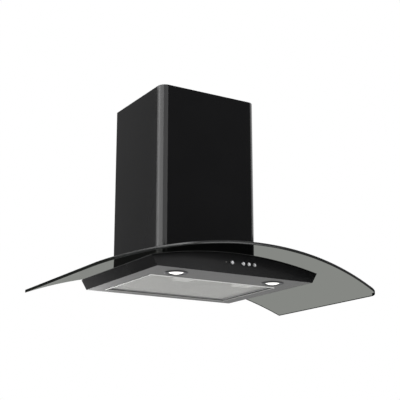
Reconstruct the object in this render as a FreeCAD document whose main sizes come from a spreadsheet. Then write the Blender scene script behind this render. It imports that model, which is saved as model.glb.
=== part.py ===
import FreeCAD, Part
import math
import os
import re
import Sketcher

# Curved glass range hood, in millimetres. The origin is on the wall, on the centre line, level with the
# underside. +X is to the right as the cook sees it, the room is towards -Y and +Z is up.

SIZES = {
    # glass canopy
    "glass_width": 900,
    "glass_thickness": 8,
    "glass_rise": 86.5,  # how far the ends of the glass hang below its middle
    "glass_crown": 59.5,  # height of the glass underside at its middle
    "glass_side": 503,  # wall to the front corners
    "glass_bow": 56,  # how far the front edge bows out beyond its corners
    "glass_gap": 6,  # wall to the rear edge
    "glass_corner": 35,
    "glass_hole": 6.5,
    "cutout_play": 3,  # round the fan box
    # body
    "body_width": 508,
    "body_depth": 445,
    "flare_width": 544,  # over the side panels at the flare height
    "flare_height": 29.5,
    "panel_sheet": 1.2,
    "flange_depth": 14,
    "seal_thickness": 1.5,
    "seal_width": 8,
    "tray_sheet": 1,
    "sheet_screw_hole": 4.2,  # for the self-tapping screws that join sheets
    "wall_screw_hole": 6,
    "wall_hole_spacing": 400,
    "wall_hole_height": 16,
    # chimney
    "chimney_width": 331,
    "chimney_depth": 296,
    "chimney_corner": 25,
    "chimney_top": 580,
    "chimney_sheet": 1,
    "chimney_play": 1,  # between the two sections
    "chimney_rest": 2,  # how far the upper section's top lies below the cover's
    "upper_length": 358,
    "cover_clearance": 0.3,  # from the cover's foot to the glass
    "vent_height": 4,
    "vent_pitch": 12,
    "bracket_sheet": 1.5,
    "bracket_height": 24,
    "bracket_drop": 10,  # from the chimney top down to the ceiling bracket
    "bracket_ear": 30,
    "ear_screw_setback": 18,
    "bracket_hole_spacing": 120,
    "clip_setback": 220,
    "clip_width": 24,
    # grease filter
    "opening_width": 410,
    "opening_front": 320,
    "opening_rear": 40,
    "lip_height": 10,
    "filter_play": 2.5,
    "filter_bottom": 0.6,
    "filter_height": 9,
    "filter_border": 7,
    "mesh_sheet": 0.8,
    "pivot_setback": 48,
    "pivot_height": 5.1,
    "pivot_radius": 2,
    "latch_spacing": 200,
    "latch_width": 68,
    "latch_length": 19,
    "latch_stem": 20,
    "latch_travel": 5,
    # lamps
    "lamp_spacing": 320,
    "lamp_setback": 379,
    "lamp_hole": 58,
    "lamp_rim": 66,
    "lamp_lens": 45,
    "lamp_can_height": 30,
    # push buttons
    "button_pitch": 18.5,
    "button_first": -22,
    "button_height": 31,
    "button_size": 11,
    "button_reach": 3,  # how far a cap stands out of the panel
    "button_play": 0.4,
    "button_travel": 2.5,
    "stem_radius": 2,
    "running_fit": 0.06,  # radial play of a stem or pin that moves in a bore
    "housing_depth": 16,
    "housing_height": 22,
    "pilot_radius": 2,
    # deck and glass rails
    "deck_bottom": 34.5,
    "deck_sheet": 1.5,
    "deck_width": 428,
    "deck_front": 415,
    "rail_inner": 140,
    "rail_outer": 164,
    "rail_sheet": 1.5,
    "pad_thickness": 3,
    # fan box, wall bracket
    "box_width": 274,
    "box_front": 258,
    "box_rear": 26,
    "box_top": 330,
    "box_sheet": 1,
    "box_flange": 10,
    "hook_height": 283,
    "hook_width": 200,
    "hook_length": 47,
    "lip_setback": 14,  # wall to the wall bracket's lip
    "hanger_hole": 7,
    "hanger_hole_spacing": 180,
    # fan
    "fan_setback": 130,
    "fan_height": 150,
    "fan_radius": 75,
    "fan_half_width": 52,
    "scroll_half_width": 60,
    "scroll_radius": 85,  # smallest radius of the scroll
    "scroll_step": 8,  # growth of the scroll from one quarter turn to the next
    "scroll_wall": 2,
    "scroll_top": 262,
    "inlet_radius": 60,
    "shaft_radius": 4,
    "shaft_play": 0.05,
    "motor_radius": 36,
    # duct collar
    "duct_diameter": 149,
    "duct_wall": 2,
    "duct_setback": 165,
    "duct_length": 55,
    "flap_radius": 71,
    "flap_height": 349,
    "flap_sheet": 1.5,
    "flap_pin_radius": 2,
    "flap_pin_height": 353.5,
    # junction box, capacitor and gland on the sides of the fan box
    "junction_front": 190,
    "junction_rear": 110,
    "junction_bottom": 90,
    "junction_top": 168,
    "junction_depth": 20,
    "junction_wall": 2,
    "gland_setback": 150,
    "gland_bore": 3.6,  # radius, for a 7 mm cable
    "capacitor_radius": 12,
    "capacitor_bottom": 100,
    "capacitor_length": 52,
}
ARCH = "(glass_width ^ 2 / 4 + glass_rise ^ 2) / (2 * glass_rise)"  # radius of the glass underside
BOW = "(glass_width ^ 2 / 4 + glass_bow ^ 2) / (2 * glass_bow)"  # plan radius of the front edge
BLADE_COUNT = 30
BUTTON_PLACES = (0, 2, 3, 4)  # the first button stands alone, one free place before the other three
BUTTON_COUNT = len(BUTTON_PLACES)
VENT_COUNT = 6  # slots in each side of the upper chimney section
MESH_LAYERS = 3

Vector = FreeCAD.Vector
doc = FreeCAD.newDocument("range_hood")
sheet = doc.addObject("Spreadsheet::Sheet", "Sizes")
nodes = []


def fill_sheet():
    for row, (alias, value) in enumerate(SIZES.items(), start=1):
        sheet.set(f"A{row}", alias)
        sheet.set(f"B{row}", str(value))
        sheet.setAlias(f"B{row}", alias)
    doc.recompute()


def formula(text):
    """An expression written with bare size names, for the sheet that holds them."""
    return re.sub(r"[a-z_]+", lambda word: f"Sizes.{word[0]}" if word[0] in SIZES else word[0], str(text))


def value(text):
    """The present value of such an expression."""
    return float(sheet.evalExpression(formula(text)))


def bind(thing, **sizes):
    for name, text in sizes.items():
        thing.setExpression(name, formula(text))
    return thing


def node(label, thing):
    """Names a finished piece."""
    thing.Label = label
    nodes.append(thing)
    return thing


def both_sides(half):
    """The span that reaches `half` each side of the centre line."""
    return (f"-({half})", half)


# Primitives and booleans


def block(name, x, y, z):
    """A box from a low to a high expression along each axis."""
    box = doc.addObject("Part::Box", name)
    for size, axis, (low, high) in zip(("Length", "Width", "Height"), "xyz", (x, y, z)):
        box.setExpression(size, formula(f"({high}) - ({low})"))
        box.setExpression(f"Placement.Base.{axis}", formula(low))
    return box


def rod(name, radius, axis, centre, low, high):
    """A cylinder along an axis, from `low` to `high`, with its centre at the other two coordinates."""
    cylinder = doc.addObject("Part::Cylinder", name)
    turn = {"x": (Vector(0, 1, 0), 90), "y": (Vector(1, 0, 0), -90), "z": (Vector(0, 0, 1), 0)}[axis]
    cylinder.Placement = FreeCAD.Placement(Vector(), FreeCAD.Rotation(*turn))
    bind(cylinder, Radius=radius, Height=f"({high}) - ({low})")
    across = iter(centre)
    for each in "xyz":
        text = low if each == axis else next(across)
        cylinder.setExpression(f"Placement.Base.{each}", formula(text))
    return cylinder


def join(name, *pieces):
    fused = doc.addObject("Part::MultiFuse", name)
    fused.Shapes = list(pieces)
    fused.Refine = True
    return fused


def cut(name, base, *tools):
    result = doc.addObject("Part::Cut", name)
    result.Base = base
    result.Tool = tools[0] if len(tools) == 1 else join(f"{name}_tools", *tools)
    return result


def common(name, *pieces):
    result = doc.addObject("Part::MultiCommon", name)
    result.Shapes = list(pieces)
    return result


def group(name, *pieces):
    compound = doc.addObject("Part::Compound", name)
    compound.Links = list(pieces)
    return compound


def feature(name, shape):
    """A shape that no primitive or sketch gives, made with the sheet's values."""
    made = doc.addObject("Part::Feature", name)
    made.Shape = shape
    return made


# Sketched bodies


def sketch(body, plane, offset="0"):
    """A sketch on one of the body's own origin planes, moved along its normal."""
    made = body.newObject("Sketcher::SketchObject", f"{body.Name}_sketch")
    origin = next(each for each in body.Origin.OriginFeatures if each.Role == plane)
    made.AttachmentSupport = (origin, [""])
    made.MapMode = "FlatFace"
    made.setExpression("AttachmentOffset.Base.z", formula(offset))
    return made


def constrain(drawing, kind, *place, text):
    index = drawing.addConstraint(Sketcher.Constraint(kind, *place, abs(value(text)) + 1))
    drawing.setExpression(f"Constraints[{index}]", formula(text))


def draw_polygon(drawing, corners):
    """Straight edges through corners given as pairs of expressions, each bound to the sheet."""
    first = drawing.GeometryCount
    points = [Vector(value(x), value(y), 0) for x, y in corners]
    count = len(points)
    for i in range(count):
        drawing.addGeometry(Part.LineSegment(points[i], points[(i + 1) % count]), False)
    for i in range(count):
        following = first + (i + 1) % count
        drawing.addConstraint(Sketcher.Constraint("Coincident", first + i, 2, following, 1))
    for i, (x, y) in enumerate(corners):
        constrain(drawing, "DistanceX", -1, 1, first + i, 1, text=x)
        constrain(drawing, "DistanceY", -1, 1, first + i, 1, text=y)


def draw_rectangle(drawing, x, y):
    draw_polygon(drawing, [(x[0], y[0]), (x[1], y[0]), (x[1], y[1]), (x[0], y[1])])


def draw_circle(drawing, x, y, radius):
    centre = Vector(value(x), value(y), 0)
    index = drawing.addGeometry(Part.Circle(centre, Vector(0, 0, 1), value(radius)), False)
    constrain(drawing, "DistanceX", -1, 1, index, 3, text=x)
    constrain(drawing, "DistanceY", -1, 1, index, 3, text=y)
    constrain(drawing, "Radius", index, text=radius)


def pad(body, drawing, length):
    made = body.newObject("PartDesign::Pad", f"{body.Name}_pad")
    made.Profile = drawing
    return bind(made, Length=length)


def pocket(body, drawing, length):
    """Cuts both ways from the sketch, so that its side doesn't matter."""
    made = body.newObject("PartDesign::Pocket", f"{body.Name}_pocket")
    made.Profile = drawing
    made.Midplane = True
    return bind(made, Length=f"2 * ({length})")


def new_body(name):
    return doc.addObject("PartDesign::Body", name)


def move(thing, x="0", y="0", z="0", turn=None):
    if turn:
        thing.Placement = FreeCAD.Placement(Vector(), FreeCAD.Rotation(Vector(*turn[0]), turn[1]))
    for axis, text in zip("xyz", (x, y, z)):
        thing.setExpression(f"Placement.Base.{axis}", formula(text))
    return thing


def turned(name, profile):
    """A body turned about its own Z axis from (radius, height) corners."""
    body = new_body(name)
    drawing = sketch(body, "XZ_Plane")
    draw_polygon(drawing, profile)
    revolution = body.newObject("PartDesign::Revolution", f"{name}_revolution")
    revolution.Profile = drawing
    revolution.ReferenceAxis = (drawing, ["V_Axis"])
    revolution.Angle = 360
    return body


def bent_strip(name, profile, half_width):
    """A strip along X whose section in the YZ plane is given by its corners."""
    body = new_body(name)
    drawing = sketch(body, "YZ_Plane")
    draw_polygon(drawing, profile)
    strip = pad(body, drawing, f"2 * ({half_width})")
    strip.Midplane = True
    return body


# Forms shared by several pieces


def arch_rod(name, growth):
    """The cylinder under the glass arch, grown by `growth` from the glass underside."""
    reach = "glass_side + glass_bow + 20"
    return rod(name, f"{ARCH} + ({growth})", "y", ("0", f"glass_crown - {ARCH}"), f"-({reach})", "20")


def arch_shell(name, inner, outer):
    return cut(name, arch_rod(f"{name}_outer", outer), arch_rod(f"{name}_inner", inner))


def flared(name, inset, front, rear):
    """A block with the body's flared sides, `inset` inside them, between two distances from the wall."""
    wedge = doc.addObject("Part::Wedge", name)
    wedge.Placement = FreeCAD.Placement(Vector(), FreeCAD.Rotation(Vector(1, 0, 0), 90))
    half = f"body_width / 2 - ({inset})"
    top_half = f"{half} + (flare_width - body_width) * glass_crown / flare_height"
    bind(wedge, Xmin=f"-({half})", Xmax=half, X2min=f"-({top_half})", X2max=top_half)
    bind(wedge, Ymin="0", Ymax="2 * glass_crown", Zmin=rear, Z2min=rear, Zmax=front, Z2max=front)
    return wedge


def rounded_prism(name, half_width, depth, corner, low, high, rear="0"):
    """An upright block whose two front corners are rounded."""
    z = (low, high)
    inner = block(f"{name}_middle", both_sides(f"{half_width} - ({corner})"), (f"-({depth})", rear), z)
    outer = block(f"{name}_wide", both_sides(half_width), (f"-({depth}) + {corner}", rear), z)
    corners = []
    for side, sign in (("left", -1), ("right", 1)):
        centre = (f"{sign} * ({half_width} - ({corner}))", f"-({depth}) + {corner}")
        corners.append(rod(f"{name}_{side}", corner, "z", centre, *z))
    return join(name, inner, outer, *corners)


def radial_cylinder(radius, x, y, low, high):
    """A cylinder square to the glass at `x`, between two heights above the glass underside."""
    arch = value(ARCH)
    tilt = math.asin(x / arch)
    direction = Vector(math.sin(tilt), 0, math.cos(tilt))
    axis_point = Vector(0, y, value("glass_crown") - arch)
    return Part.makeCylinder(radius, high - low, axis_point + direction * (arch + low), direction)


def glass_screw_places():
    x = (value("rail_inner") + value("rail_outer")) / 2
    front = -value("box_front") + 20
    rear = -value("box_rear") - 20
    return [(sign * x, y) for sign in (-1, 1) for y in (front, rear)]


def glass_screw_holes(name, radius):
    cylinders = [radial_cylinder(radius, x, y, -20, 20) for x, y in glass_screw_places()]
    return feature(name, Part.makeCompound(cylinders))


# Body


def make_underside_panel():
    """Flat tray with a turned-up lip round the filter opening, and two pivot holes in that lip."""
    body = new_body("underside")
    plate = sketch(body, "XY_Plane")
    depth = ("-body_depth + panel_sheet", "-panel_sheet")
    draw_rectangle(plate, both_sides("body_width / 2 - panel_sheet"), depth)
    pad(body, plate, "tray_sheet")
    lip = sketch(body, "XY_Plane")
    around = ("-opening_front - tray_sheet", "-opening_rear + tray_sheet")
    draw_rectangle(lip, both_sides("opening_width / 2 + tray_sheet"), around)
    pad(body, lip, "lip_height")
    opening = sketch(body, "XY_Plane")
    draw_rectangle(opening, both_sides("opening_width / 2"), ("-opening_front", "-opening_rear"))
    for sign in (-1, 1):
        draw_circle(opening, f"{sign} * lamp_spacing / 2", "-lamp_setback", "lamp_hole / 2")
    pocket(body, opening, "2 * lip_height")
    pivots = sketch(body, "YZ_Plane")
    draw_circle(pivots, "-pivot_setback", "pivot_height", "pivot_radius + running_fit")
    pocket(body, pivots, "body_width")
    return node("underside_panel", body)


def make_end_panel(name, front, rear, flange_front, flange_rear, holes):
    """A panel across the body with its flared sides, its arched top edge and a flange under the glass."""
    skin_block = flared(f"{name}_skin_block", "0", front, rear)
    skin = common(f"{name}_skin", skin_block, arch_rod(f"{name}_top", "-seal_thickness"))
    flange_block = flared(f"{name}_flange_block", "panel_sheet", flange_front, flange_rear)
    under_seal = arch_shell(f"{name}_arch", "-seal_thickness - panel_sheet", "-seal_thickness")
    flange = common(f"{name}_flange", flange_block, under_seal)
    return node(name, cut(f"{name}_cut", join(f"{name}_sheet", skin, flange), *holes))


def sheet_hole(name, diameter, x, z, depth="0"):
    """A hole along Y through a sheet that stands `depth` from the wall."""
    reach = (f"-({depth}) - 5", f"-({depth}) + 5")
    return rod(name, f"{diameter} / 2", "y", (x, z), *reach)


def hole_pair(name, diameter, spacing, z):
    """Two such holes, each side of the centre line, in a sheet on the wall."""
    return [
        sheet_hole(f"{name}_{side}", diameter, f"{sign} * {spacing} / 2", z)
        for side, sign in (("left", -1), ("right", 1))
    ]


def make_front_panel():
    wide = "(button_size + 2 * button_play)"
    holes = [
        sheet_hole(f"button_hole_{i}", wide, button_x(i), "button_height", "body_depth")
        for i in range(BUTTON_COUNT)
    ]
    narrow = "2 * (pilot_radius + 0.1)"
    holes.append(sheet_hole("pilot_hole", narrow, pilot_x(), "button_height", "body_depth"))
    inner = "body_depth - panel_sheet"
    return make_end_panel("front_panel", "body_depth", inner, inner, "body_depth - flange_depth", holes)


def make_back_panel():
    holes = hole_pair("wall_hole", "wall_screw_hole", "wall_hole_spacing", "wall_hole_height")
    return make_end_panel("back_panel", "panel_sheet", "0", "flange_depth", "panel_sheet", holes)


def make_side_panels():
    front, rear = "body_depth - panel_sheet", "panel_sheet"
    for side, sign in (("left", -1), ("right", 1)):
        wall = cut(
            f"side_wall_{side}",
            flared(f"side_outside_{side}", "0", front, rear),
            flared(f"side_inside_{side}", "panel_sheet", "body_depth", "0"),
        )
        half = ("-flare_width", "0") if sign < 0 else ("0", "flare_width")
        keep = block(f"side_keep_{side}", half, ("-body_depth", "0"), ("-1", "glass_crown"))
        top = arch_rod(f"side_top_{side}", "-seal_thickness")
        node(f"side_panel_{side}", common(f"side_{side}", wall, keep, top))


def make_glass_seal():
    """One rubber ring that follows the arch, between the body's top edges and the glass."""
    layer = arch_shell("seal_arch", "-seal_thickness", "0")
    outline = common("seal_outline", flared("seal_block", "0", "body_depth", "glass_gap"), layer)
    inside = flared("seal_inside", "seal_width", "body_depth - flange_depth", "flange_depth")
    return node("glass_seal", cut("seal_ring", outline, inside))


# Glass


def make_glass_canopy():
    """Bent plate: an arch from side to side, with a bowed front edge and rounded front corners."""
    reach = "glass_side + glass_bow"
    z = ("-glass_rise", "2 * glass_crown")
    rectangle = block("glass_plan", both_sides("glass_width / 2"), (f"-({reach})", "-glass_gap"), z)
    bow = rod("glass_front_bow", BOW, "z", ("0", f"{BOW} - ({reach})"), *z)
    outline = common("glass_outline", rectangle, bow)
    doc.recompute()
    rounded = doc.addObject("Part::Fillet", "glass_corners")
    rounded.Base = outline
    corner = value("glass_corner")
    rounded.Edges = [
        (index, corner, corner)
        for index, edge in enumerate(outline.Shape.Edges, start=1)
        if is_upright(edge) and edge.BoundBox.YMax < -value("glass_side") / 2
    ]
    plate = common("glass_plate", rounded, arch_shell("glass_arch", "0", "glass_thickness"))
    cutout = block(
        "glass_cutout",
        both_sides("box_width / 2 + cutout_play"),
        ("-box_front - cutout_play", "-box_rear + cutout_play"),
        z,
    )
    holes = glass_screw_holes("glass_holes", value("glass_hole / 2"))
    return node("glass_canopy", cut("glass_cut", plate, cutout, holes))


def is_upright(edge):
    box = edge.BoundBox
    return box.XLength < 0.01 and box.YLength < 0.01 and box.ZLength > 1


# Chimney


def chimney_section(name, inset, low, high):
    """A sheet bent to three sides with rounded front corners, `inset` inside the cover's outline."""
    half = f"chimney_width / 2 - ({inset})"
    depth = f"chimney_depth - ({inset})"
    corner = f"chimney_corner - ({inset})"
    outside = rounded_prism(f"{name}_outside", half, depth, corner, low, high)
    inside = rounded_prism(
        f"{name}_inside",
        f"{half} - chimney_sheet",
        f"{depth} - chimney_sheet",
        f"{corner} - chimney_sheet",
        f"{low} - 1",
        f"{high} + 1",
        "1",
    )
    return cut(f"{name}_bent", outside, inside)


def make_lower_chimney():
    """The cover stands on the glass, so its foot follows the arch."""
    section = chimney_section("lower_cover", "0", "glass_crown - glass_rise / 5", "chimney_top")
    foot = arch_rod("lower_cover_foot", "glass_thickness + cover_clearance")
    return node("lower_chimney", cut("lower_cover_cut", section, foot))


def make_upper_chimney():
    inset = "chimney_sheet + chimney_play"
    top = "chimney_top - chimney_rest"
    section = chimney_section("upper_cover", inset, f"{top} - upper_length", top)
    slots = []
    for i in range(VENT_COUNT):
        low = f"{top} - 60 - {i} * vent_pitch"
        y = ("-chimney_depth + 80", "-chimney_depth + 210")
        slots.append(block(f"vent_{i}", both_sides("chimney_width"), y, (low, f"{low} + vent_height")))
    return node("upper_chimney", cut("upper_cover_cut", section, ear_screw_hole("upper_screw_hole"), *slots))


BRACKET_MIDDLE = "chimney_top - bracket_drop - bracket_height / 2"


def ear_screw_hole(name):
    """One straight hole for both of the screws that hold the upper section to its bracket."""
    centre = ("-ear_screw_setback", BRACKET_MIDDLE)
    return rod(name, "sheet_screw_hole / 2", "x", centre, *both_sides("chimney_width"))


def upper_inner_half():
    return "chimney_width / 2 - 2 * chimney_sheet - chimney_play"


def make_ceiling_bracket():
    """A strip against the wall with an ear at each end, screwed to the section's side walls."""
    half = upper_inner_half()
    z = ("chimney_top - bracket_drop - bracket_height", "chimney_top - bracket_drop")
    web = block("bracket_web", both_sides(half), ("-bracket_sheet", "0"), z)
    y = ("-bracket_ear", "0")
    ears = [
        block("bracket_ear_left", (f"-({half})", f"-({half}) + bracket_sheet"), y, z),
        block("bracket_ear_right", (f"{half} - bracket_sheet", half), y, z),
    ]
    holes = hole_pair("bracket_hole", "wall_screw_hole", "bracket_hole_spacing", BRACKET_MIDDLE)
    holes.append(ear_screw_hole("ear_screw_hole"))
    return node("ceiling_bracket", cut("bracket_cut", join("bracket_sheet_form", web, *ears), *holes))


def make_bracket_screws():
    half = upper_inner_half()
    screws = []
    for side, sign in (("left", -1), ("right", 1)):
        spans = {
            "shank": ("2", f"{half} - bracket_sheet", f"{half} + chimney_sheet - 0.2"),
            "head": ("4", f"{half} - bracket_sheet - 2.4", f"{half} - bracket_sheet"),
        }
        parts = []
        for part, (radius, low, high) in spans.items():
            along = (low, high) if sign > 0 else (f"-({high})", f"-({low})")
            centre = ("-ear_screw_setback", BRACKET_MIDDLE)
            parts.append(rod(f"bracket_screw_{part}_{side}", radius, "x", centre, *along))
        screws.append(join(f"bracket_screw_{side}", *parts))
    return node("bracket_screws", group("bracket_screw_pair", *screws))


def make_cover_brackets():
    """Clips on the fan box that hold the cover at its width; the upper section comes down on them."""
    clips = []
    inner, outer = "box_width / 2", "chimney_width / 2 - chimney_sheet - cover_clearance"
    y = ("-clip_setback - clip_width / 2", "-clip_setback + clip_width / 2")
    top = "chimney_top - chimney_rest - upper_length"
    for side, sign in (("left", -1), ("right", 1)):
        spans = {
            "foot": ((inner, f"{inner} + bracket_sheet"), (f"{top} - 26", top)),
            "arm": ((inner, outer), (f"{top} - bracket_sheet", top)),
            "tab": ((f"{outer} - bracket_sheet", outer), (f"{top} - 18", top)),
        }
        parts = []
        for part, (x, z) in spans.items():
            x = x if sign > 0 else (f"-({x[1]})", f"-({x[0]})")
            parts.append(block(f"clip_{part}_{side}", x, y, z))
        clips.append(join(f"clip_{side}", *parts))
    return node("cover_brackets", group("clip_pair", *clips))


# Deck, rails and glass fixings


def make_fan_deck():
    """A bridge over the filter space: a top plate on two legs with feet, open under the fan box."""
    half, leg = "deck_width / 2", "deck_sheet"
    y = ("-deck_front", "-2")
    top = block("deck_plate", both_sides(half), y, ("deck_bottom", "deck_bottom + deck_sheet"))
    parts = [top]
    for side, sign in (("left", -1), ("right", 1)):
        leg_x, foot_x = (f"{half} - {leg}", half), (f"{half} - {leg}", f"{half} + 12")
        if sign < 0:
            leg_x, foot_x = ((f"-({high})", f"-({low})") for low, high in (leg_x, foot_x))
        parts.append(block(f"deck_leg_{side}", leg_x, y, ("tray_sheet", "deck_bottom + deck_sheet")))
        parts.append(block(f"deck_foot_{side}", foot_x, y, ("tray_sheet", f"tray_sheet + {leg}")))
    inlet = block(
        "deck_inlet",
        both_sides("box_width / 2 - box_flange"),
        ("-box_front + box_flange", "-box_rear - box_flange"),
        ("0", "glass_crown"),
    )
    return node("fan_deck", cut("deck_cut", join("deck_form", *parts), inlet, *box_screw_holes("deck")))


def box_screw_places():
    """Three screws along each side flange of the fan box."""
    x = "box_width / 2 - box_flange / 2"
    depths = ("-box_front + 20", "-(box_front + box_rear) / 2", "-box_rear - 20")
    return [(f"{sign} * ({x})", y) for sign in (-1, 1) for y in depths]


def box_screw_holes(name):
    return [
        rod(f"{name}_hole_{i}", "sheet_screw_hole / 2", "z", place, "deck_bottom - 5", "deck_bottom + 5")
        for i, place in enumerate(box_screw_places())
    ]


def make_glass_rails():
    """Open channels on the deck whose tops follow the arch and carry the glass."""
    y = ("-deck_front", "-flange_depth")
    low = "deck_bottom + deck_sheet"
    for side, sign in (("left", -1), ("right", 1)):
        x = ("rail_inner", "rail_outer")
        hollow_x = ("rail_inner + rail_sheet", "rail_outer + 5")
        if sign < 0:
            x, hollow_x = ((f"-({high})", f"-({low})") for low, high in (x, hollow_x))
        outside = common(
            f"rail_outside_{side}",
            block(f"rail_block_{side}", x, y, (low, "glass_crown")),
            arch_rod(f"rail_top_{side}", "-pad_thickness"),
        )
        hollow_z = (f"{low} + rail_sheet", "glass_crown")
        inside = common(
            f"rail_inside_{side}",
            block(f"rail_hollow_{side}", hollow_x, ("-deck_front - 1", "0"), hollow_z),
            arch_rod(f"rail_ceiling_{side}", "-pad_thickness - rail_sheet"),
        )
        rail = cut(f"rail_{side}", outside, inside, glass_screw_holes(f"rail_holes_{side}", 2.6))
        node(f"glass_rail_{side}", rail)


def make_rail_pads():
    y = ("-deck_front", "-flange_depth")
    pads = []
    for side, x in (("left", ("-rail_outer", "-rail_inner")), ("right", ("rail_inner", "rail_outer"))):
        strip = block(f"pad_block_{side}", x, y, ("deck_bottom", "glass_crown"))
        layer = common(f"pad_layer_{side}", strip, arch_shell(f"pad_arch_{side}", "-pad_thickness", "0"))
        keep_out = block(
            f"pad_cutout_{side}",
            both_sides("box_width / 2 + cutout_play"),
            ("-box_front - cutout_play", "-box_rear + cutout_play"),
            ("0", "120"),
        )
        pads.append(cut(f"pad_{side}", layer, keep_out, glass_screw_holes(f"pad_holes_{side}", 3)))
    return node("rail_pads", group("pad_pair", *pads))


def make_glass_screws():
    """Screw and washer on the glass, with the shank down through the pad into the rail."""
    top = value("glass_thickness")
    shapes = []
    for x, y in glass_screw_places():
        shank = radial_cylinder(2.5, x, y, -9, top)
        washer = radial_cylinder(6, x, y, top, top + 1)
        head = radial_cylinder(4.5, x, y, top + 1, top + 4)
        shapes.append(shank.fuse(washer).fuse(head).removeSplitter())
    return node("glass_screws", feature("glass_screw_set", Part.makeCompound(shapes)))


# Wall bracket and hooks


def make_wall_bracket():
    """Z-shaped rail screwed to the wall; its upturned lip carries the hooks."""
    top, sheet_size = "hook_height", "bracket_sheet"
    low = "hook_height - hook_length"
    shelf = "hook_height - 21"
    profile = [
        ("0", low),
        ("0", f"{shelf} + {sheet_size}"),
        ("-lip_setback", f"{shelf} + {sheet_size}"),
        ("-lip_setback", top),
        (f"-lip_setback - {sheet_size}", top),
        (f"-lip_setback - {sheet_size}", shelf),
        (f"-{sheet_size}", shelf),
        (f"-{sheet_size}", low),
    ]
    body = bent_strip("wall_rail", profile, "hook_width / 2 + 10")
    holes = sketch(body, "XZ_Plane")
    for sign in (-1, 1):
        draw_circle(holes, f"{sign} * hanger_hole_spacing / 2", "hook_height - 35", "hanger_hole / 2")
    pocket(body, holes, "lip_setback / 2")
    return node("wall_bracket", body)


def make_hanging_hooks():
    """The hook strip on the back of the fan box: up, over the wall bracket's lip, and down behind it."""
    top, thickness = "hook_height", "bracket_sheet"
    bottom, tip, behind = f"{top} - hook_length", f"{top} - 15", "3 - lip_setback"
    profile = [
        ("-box_rear", bottom),
        ("-box_rear", f"{top} + {thickness}"),
        (behind, f"{top} + {thickness}"),
        (behind, tip),
        (f"{behind} - {thickness}", tip),
        (f"{behind} - {thickness}", top),
        (f"-box_rear + {thickness}", top),
        (f"-box_rear + {thickness}", bottom),
    ]
    return node("hanging_hook", bent_strip("hook_strip", profile, "hook_width / 2"))


# Fan box and its screws


def make_fan_box():
    """Sheet box, open below with an inward flange, with a round outlet in its roof."""
    half, low = "box_width / 2", "deck_bottom + deck_sheet"
    outside = block("box_outside", both_sides(half), ("-box_front", "-box_rear"), (low, "box_top"))
    inside = block(
        "box_inside",
        both_sides(f"{half} - box_sheet"),
        ("-box_front + box_sheet", "-box_rear - box_sheet"),
        (f"{low} + box_sheet", "box_top - box_sheet"),
    )
    inlet = block(
        "box_inlet",
        both_sides(f"{half} - box_flange"),
        ("-box_front + box_flange", "-box_rear - box_flange"),
        (f"{low} - 1", f"{low} + 5"),
    )
    centre = ("0", "-duct_setback")
    outlet = rod("box_outlet", "duct_diameter / 2", "z", centre, "box_top - 5", "box_top + 5")
    return node("fan_box", cut("box_cut", outside, inside, inlet, outlet, *box_screw_holes("box")))


def make_box_screws():
    seat = "deck_bottom + deck_sheet + box_sheet"
    screws = []
    for i, place in enumerate(box_screw_places()):
        shank = rod(f"box_screw_shank_{i}", "2", "z", place, "deck_bottom - 4", f"{seat} + 1")
        head = rod(f"box_screw_head_{i}", "4", "z", place, seat, f"{seat} + 2.6")
        screws.append(join(f"box_screw_{i}", shank, head))
    return node("box_screws", group("box_screw_set", *screws))


# Fan


def scroll_wire():
    """Volute of three growing quarter arcs, a tongue and a straight outlet, about the wheel's centre.

    The first coordinate points to the front of the hood and the second up."""
    first, step = value("scroll_radius"), value("scroll_step")
    top = value("scroll_top - fan_height")
    diagonal = math.sqrt(0.5)
    second, third = first + step, first + 2 * step
    front = step + third

    def point(ahead, up):
        return Vector(0, -ahead, up)

    def arc(centre, radius, start, middle, end):
        places = [point(centre[0] + radius * a, centre[1] + radius * b) for a, b in (start, middle, end)]
        return Part.Arc(*places).toShape()

    edges = [
        arc((0, 0), first, (0, 1), (-diagonal, diagonal), (-1, 0)),
        arc((step, 0), second, (-1, 0), (-diagonal, -diagonal), (0, -1)),
        arc((step, step), third, (0, -1), (diagonal, -diagonal), (1, 0)),
        Part.LineSegment(point(front, step), point(front, top)).toShape(),
        Part.LineSegment(point(front, top), point(step, top)).toShape(),
        Part.LineSegment(point(step, top), point(step, first + step)).toShape(),
        arc((0, first + step), step, (1, 0), (diagonal, -diagonal), (0, -1)),
    ]
    return Part.Wire(edges)


def scroll_half(sign):
    """One half of the scroll: its part of the wrap, and a cheek with the inlet."""
    wire = scroll_wire()
    wall, half = value("scroll_wall"), value("scroll_half_width")
    top = value("scroll_top - fan_height")
    inner = Part.Face(wire)
    outer = Part.Face(wire.makeOffset2D(wall))
    along = Vector(sign * half, 0, 0)
    hollow = inner.extrude(Vector(sign * (half - wall), 0, 0))
    start = Vector(sign * (half - 2 * wall), 0, 0)
    inlet = Part.makeCylinder(value("inlet_radius"), 4 * wall, start, Vector(sign, 0, 0))
    above = Part.makeBox(4 * half, 6 * half, half, Vector(-2 * half, -3 * half, top))
    shell = outer.extrude(along).cut(hollow).cut(inlet).cut(above)
    shell.translate(fan_centre())
    return shell.removeSplitter()


def fan_centre():
    return Vector(0, -value("fan_setback"), value("fan_height"))


def make_scroll_halves():
    for side, sign in (("left", -1), ("right", 1)):
        node(f"scroll_{side}_half", feature(f"scroll_{side}", scroll_half(sign)))


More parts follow.
